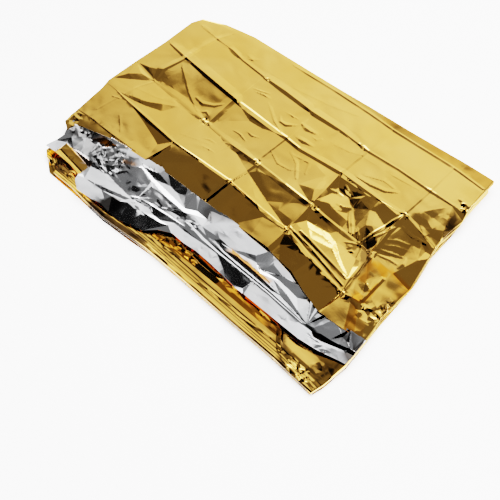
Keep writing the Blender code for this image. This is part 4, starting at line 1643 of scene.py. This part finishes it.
SMALL_BOXES = (                         # strength, direction, radius and edge in degrees
    (1.7, (-0.45, -0.72, 0.52), 22, 5),     # near left
    (0.9, (-0.88, 0.05, 0.45), 14, 4),      # left
    (1.3, (0.75, 0.45, 0.40), 16, 4),       # far right
)


def lit(strength, centre, radius, edge):
    """The light of a soft box: its strength inside it, and nothing outside."""
    return strength * soft_box(centre, radius, edge)


print("room:", 2 + len(SMALL_BOXES), "soft boxes and a low light")

# %% Room: the light in each direction
uneven = room.node("ShaderNodeTexNoise", Vector=direction, Scale=5.0, Detail=1.0)
even_light, uneven_light = BIG_BOX_LIGHT
light = WALLS + (even_light + uneven_light * uneven) * soft_box(BIG_BOX, *BIG_BOX_SIZE)
for strength, radius, edge in BIG_BOX_STEPS:
    light = light + lit(strength, BIG_BOX, radius, edge)
light = light * (1 - lit(*DULL_SPOT))
light = light - lit(*DARK_CEILING)
strength, across, upward = DARK_BEAM
light = light - strength * strip(*across) * strip(*upward)
light = light + lit(*SILVER_BOX)
strength, *place = LOW_LIGHT
light = light + strength * (soft_box(*place) * height_band(*LOW_LIGHT_BAND))
for box in SMALL_BOXES:
    light = light + lit(*box)
light.feed(backdrop.inputs["Strength"])
print("room:", len(world.node_tree.nodes), "nodes")

# %% A lamp that fills the floor but does not show in the film
lamp_data = bpy.data.lights.new("overhead", "AREA")
lamp_data.shape = "DISK"
lamp_data.size = 3.0
lamp_data.energy = 420
lamp = bpy.data.objects.new("overhead", lamp_data)
bpy.context.scene.collection.objects.link(lamp)
lamp.location = (0.3, 0.2, 2.6)
lamp.visible_glossy = False
print("lamp:", lamp_data.energy, "W")

# %% [markdown]
# ## The camera
#
# The camera looks down at the pack from the near right corner, from about 1.7 m away with a long
# lens, which keeps the far edge nearly as wide as the near one. Film needs deep darks beside
# bright whites, and the high-contrast look gives the picture both.

# %% Camera
CAMERA_PLACE = Vector((0.7657, -0.8181, 1.5124))
CAMERA_AIM = Vector((0.1186, -0.1580, 0.040))
camera_data = bpy.data.cameras.new("camera")
camera_data.sensor_width = 36.0
camera_data.lens = 64.8
camera = bpy.data.objects.new("camera", camera_data)
bpy.context.scene.collection.objects.link(camera)
camera.location = CAMERA_PLACE
camera.rotation_euler = (CAMERA_AIM - CAMERA_PLACE).to_track_quat("-Z", "Y").to_euler()
bpy.context.scene.camera = camera
bpy.context.scene.view_settings.view_transform = "Filmic"
bpy.context.scene.view_settings.look = "High Contrast"
print("camera:", round((CAMERA_AIM - CAMERA_PLACE).length, 2), "m from what it looks at")

# %% [markdown]
# The film must stay the size of the plain model, give or take what cloth may stand proud.
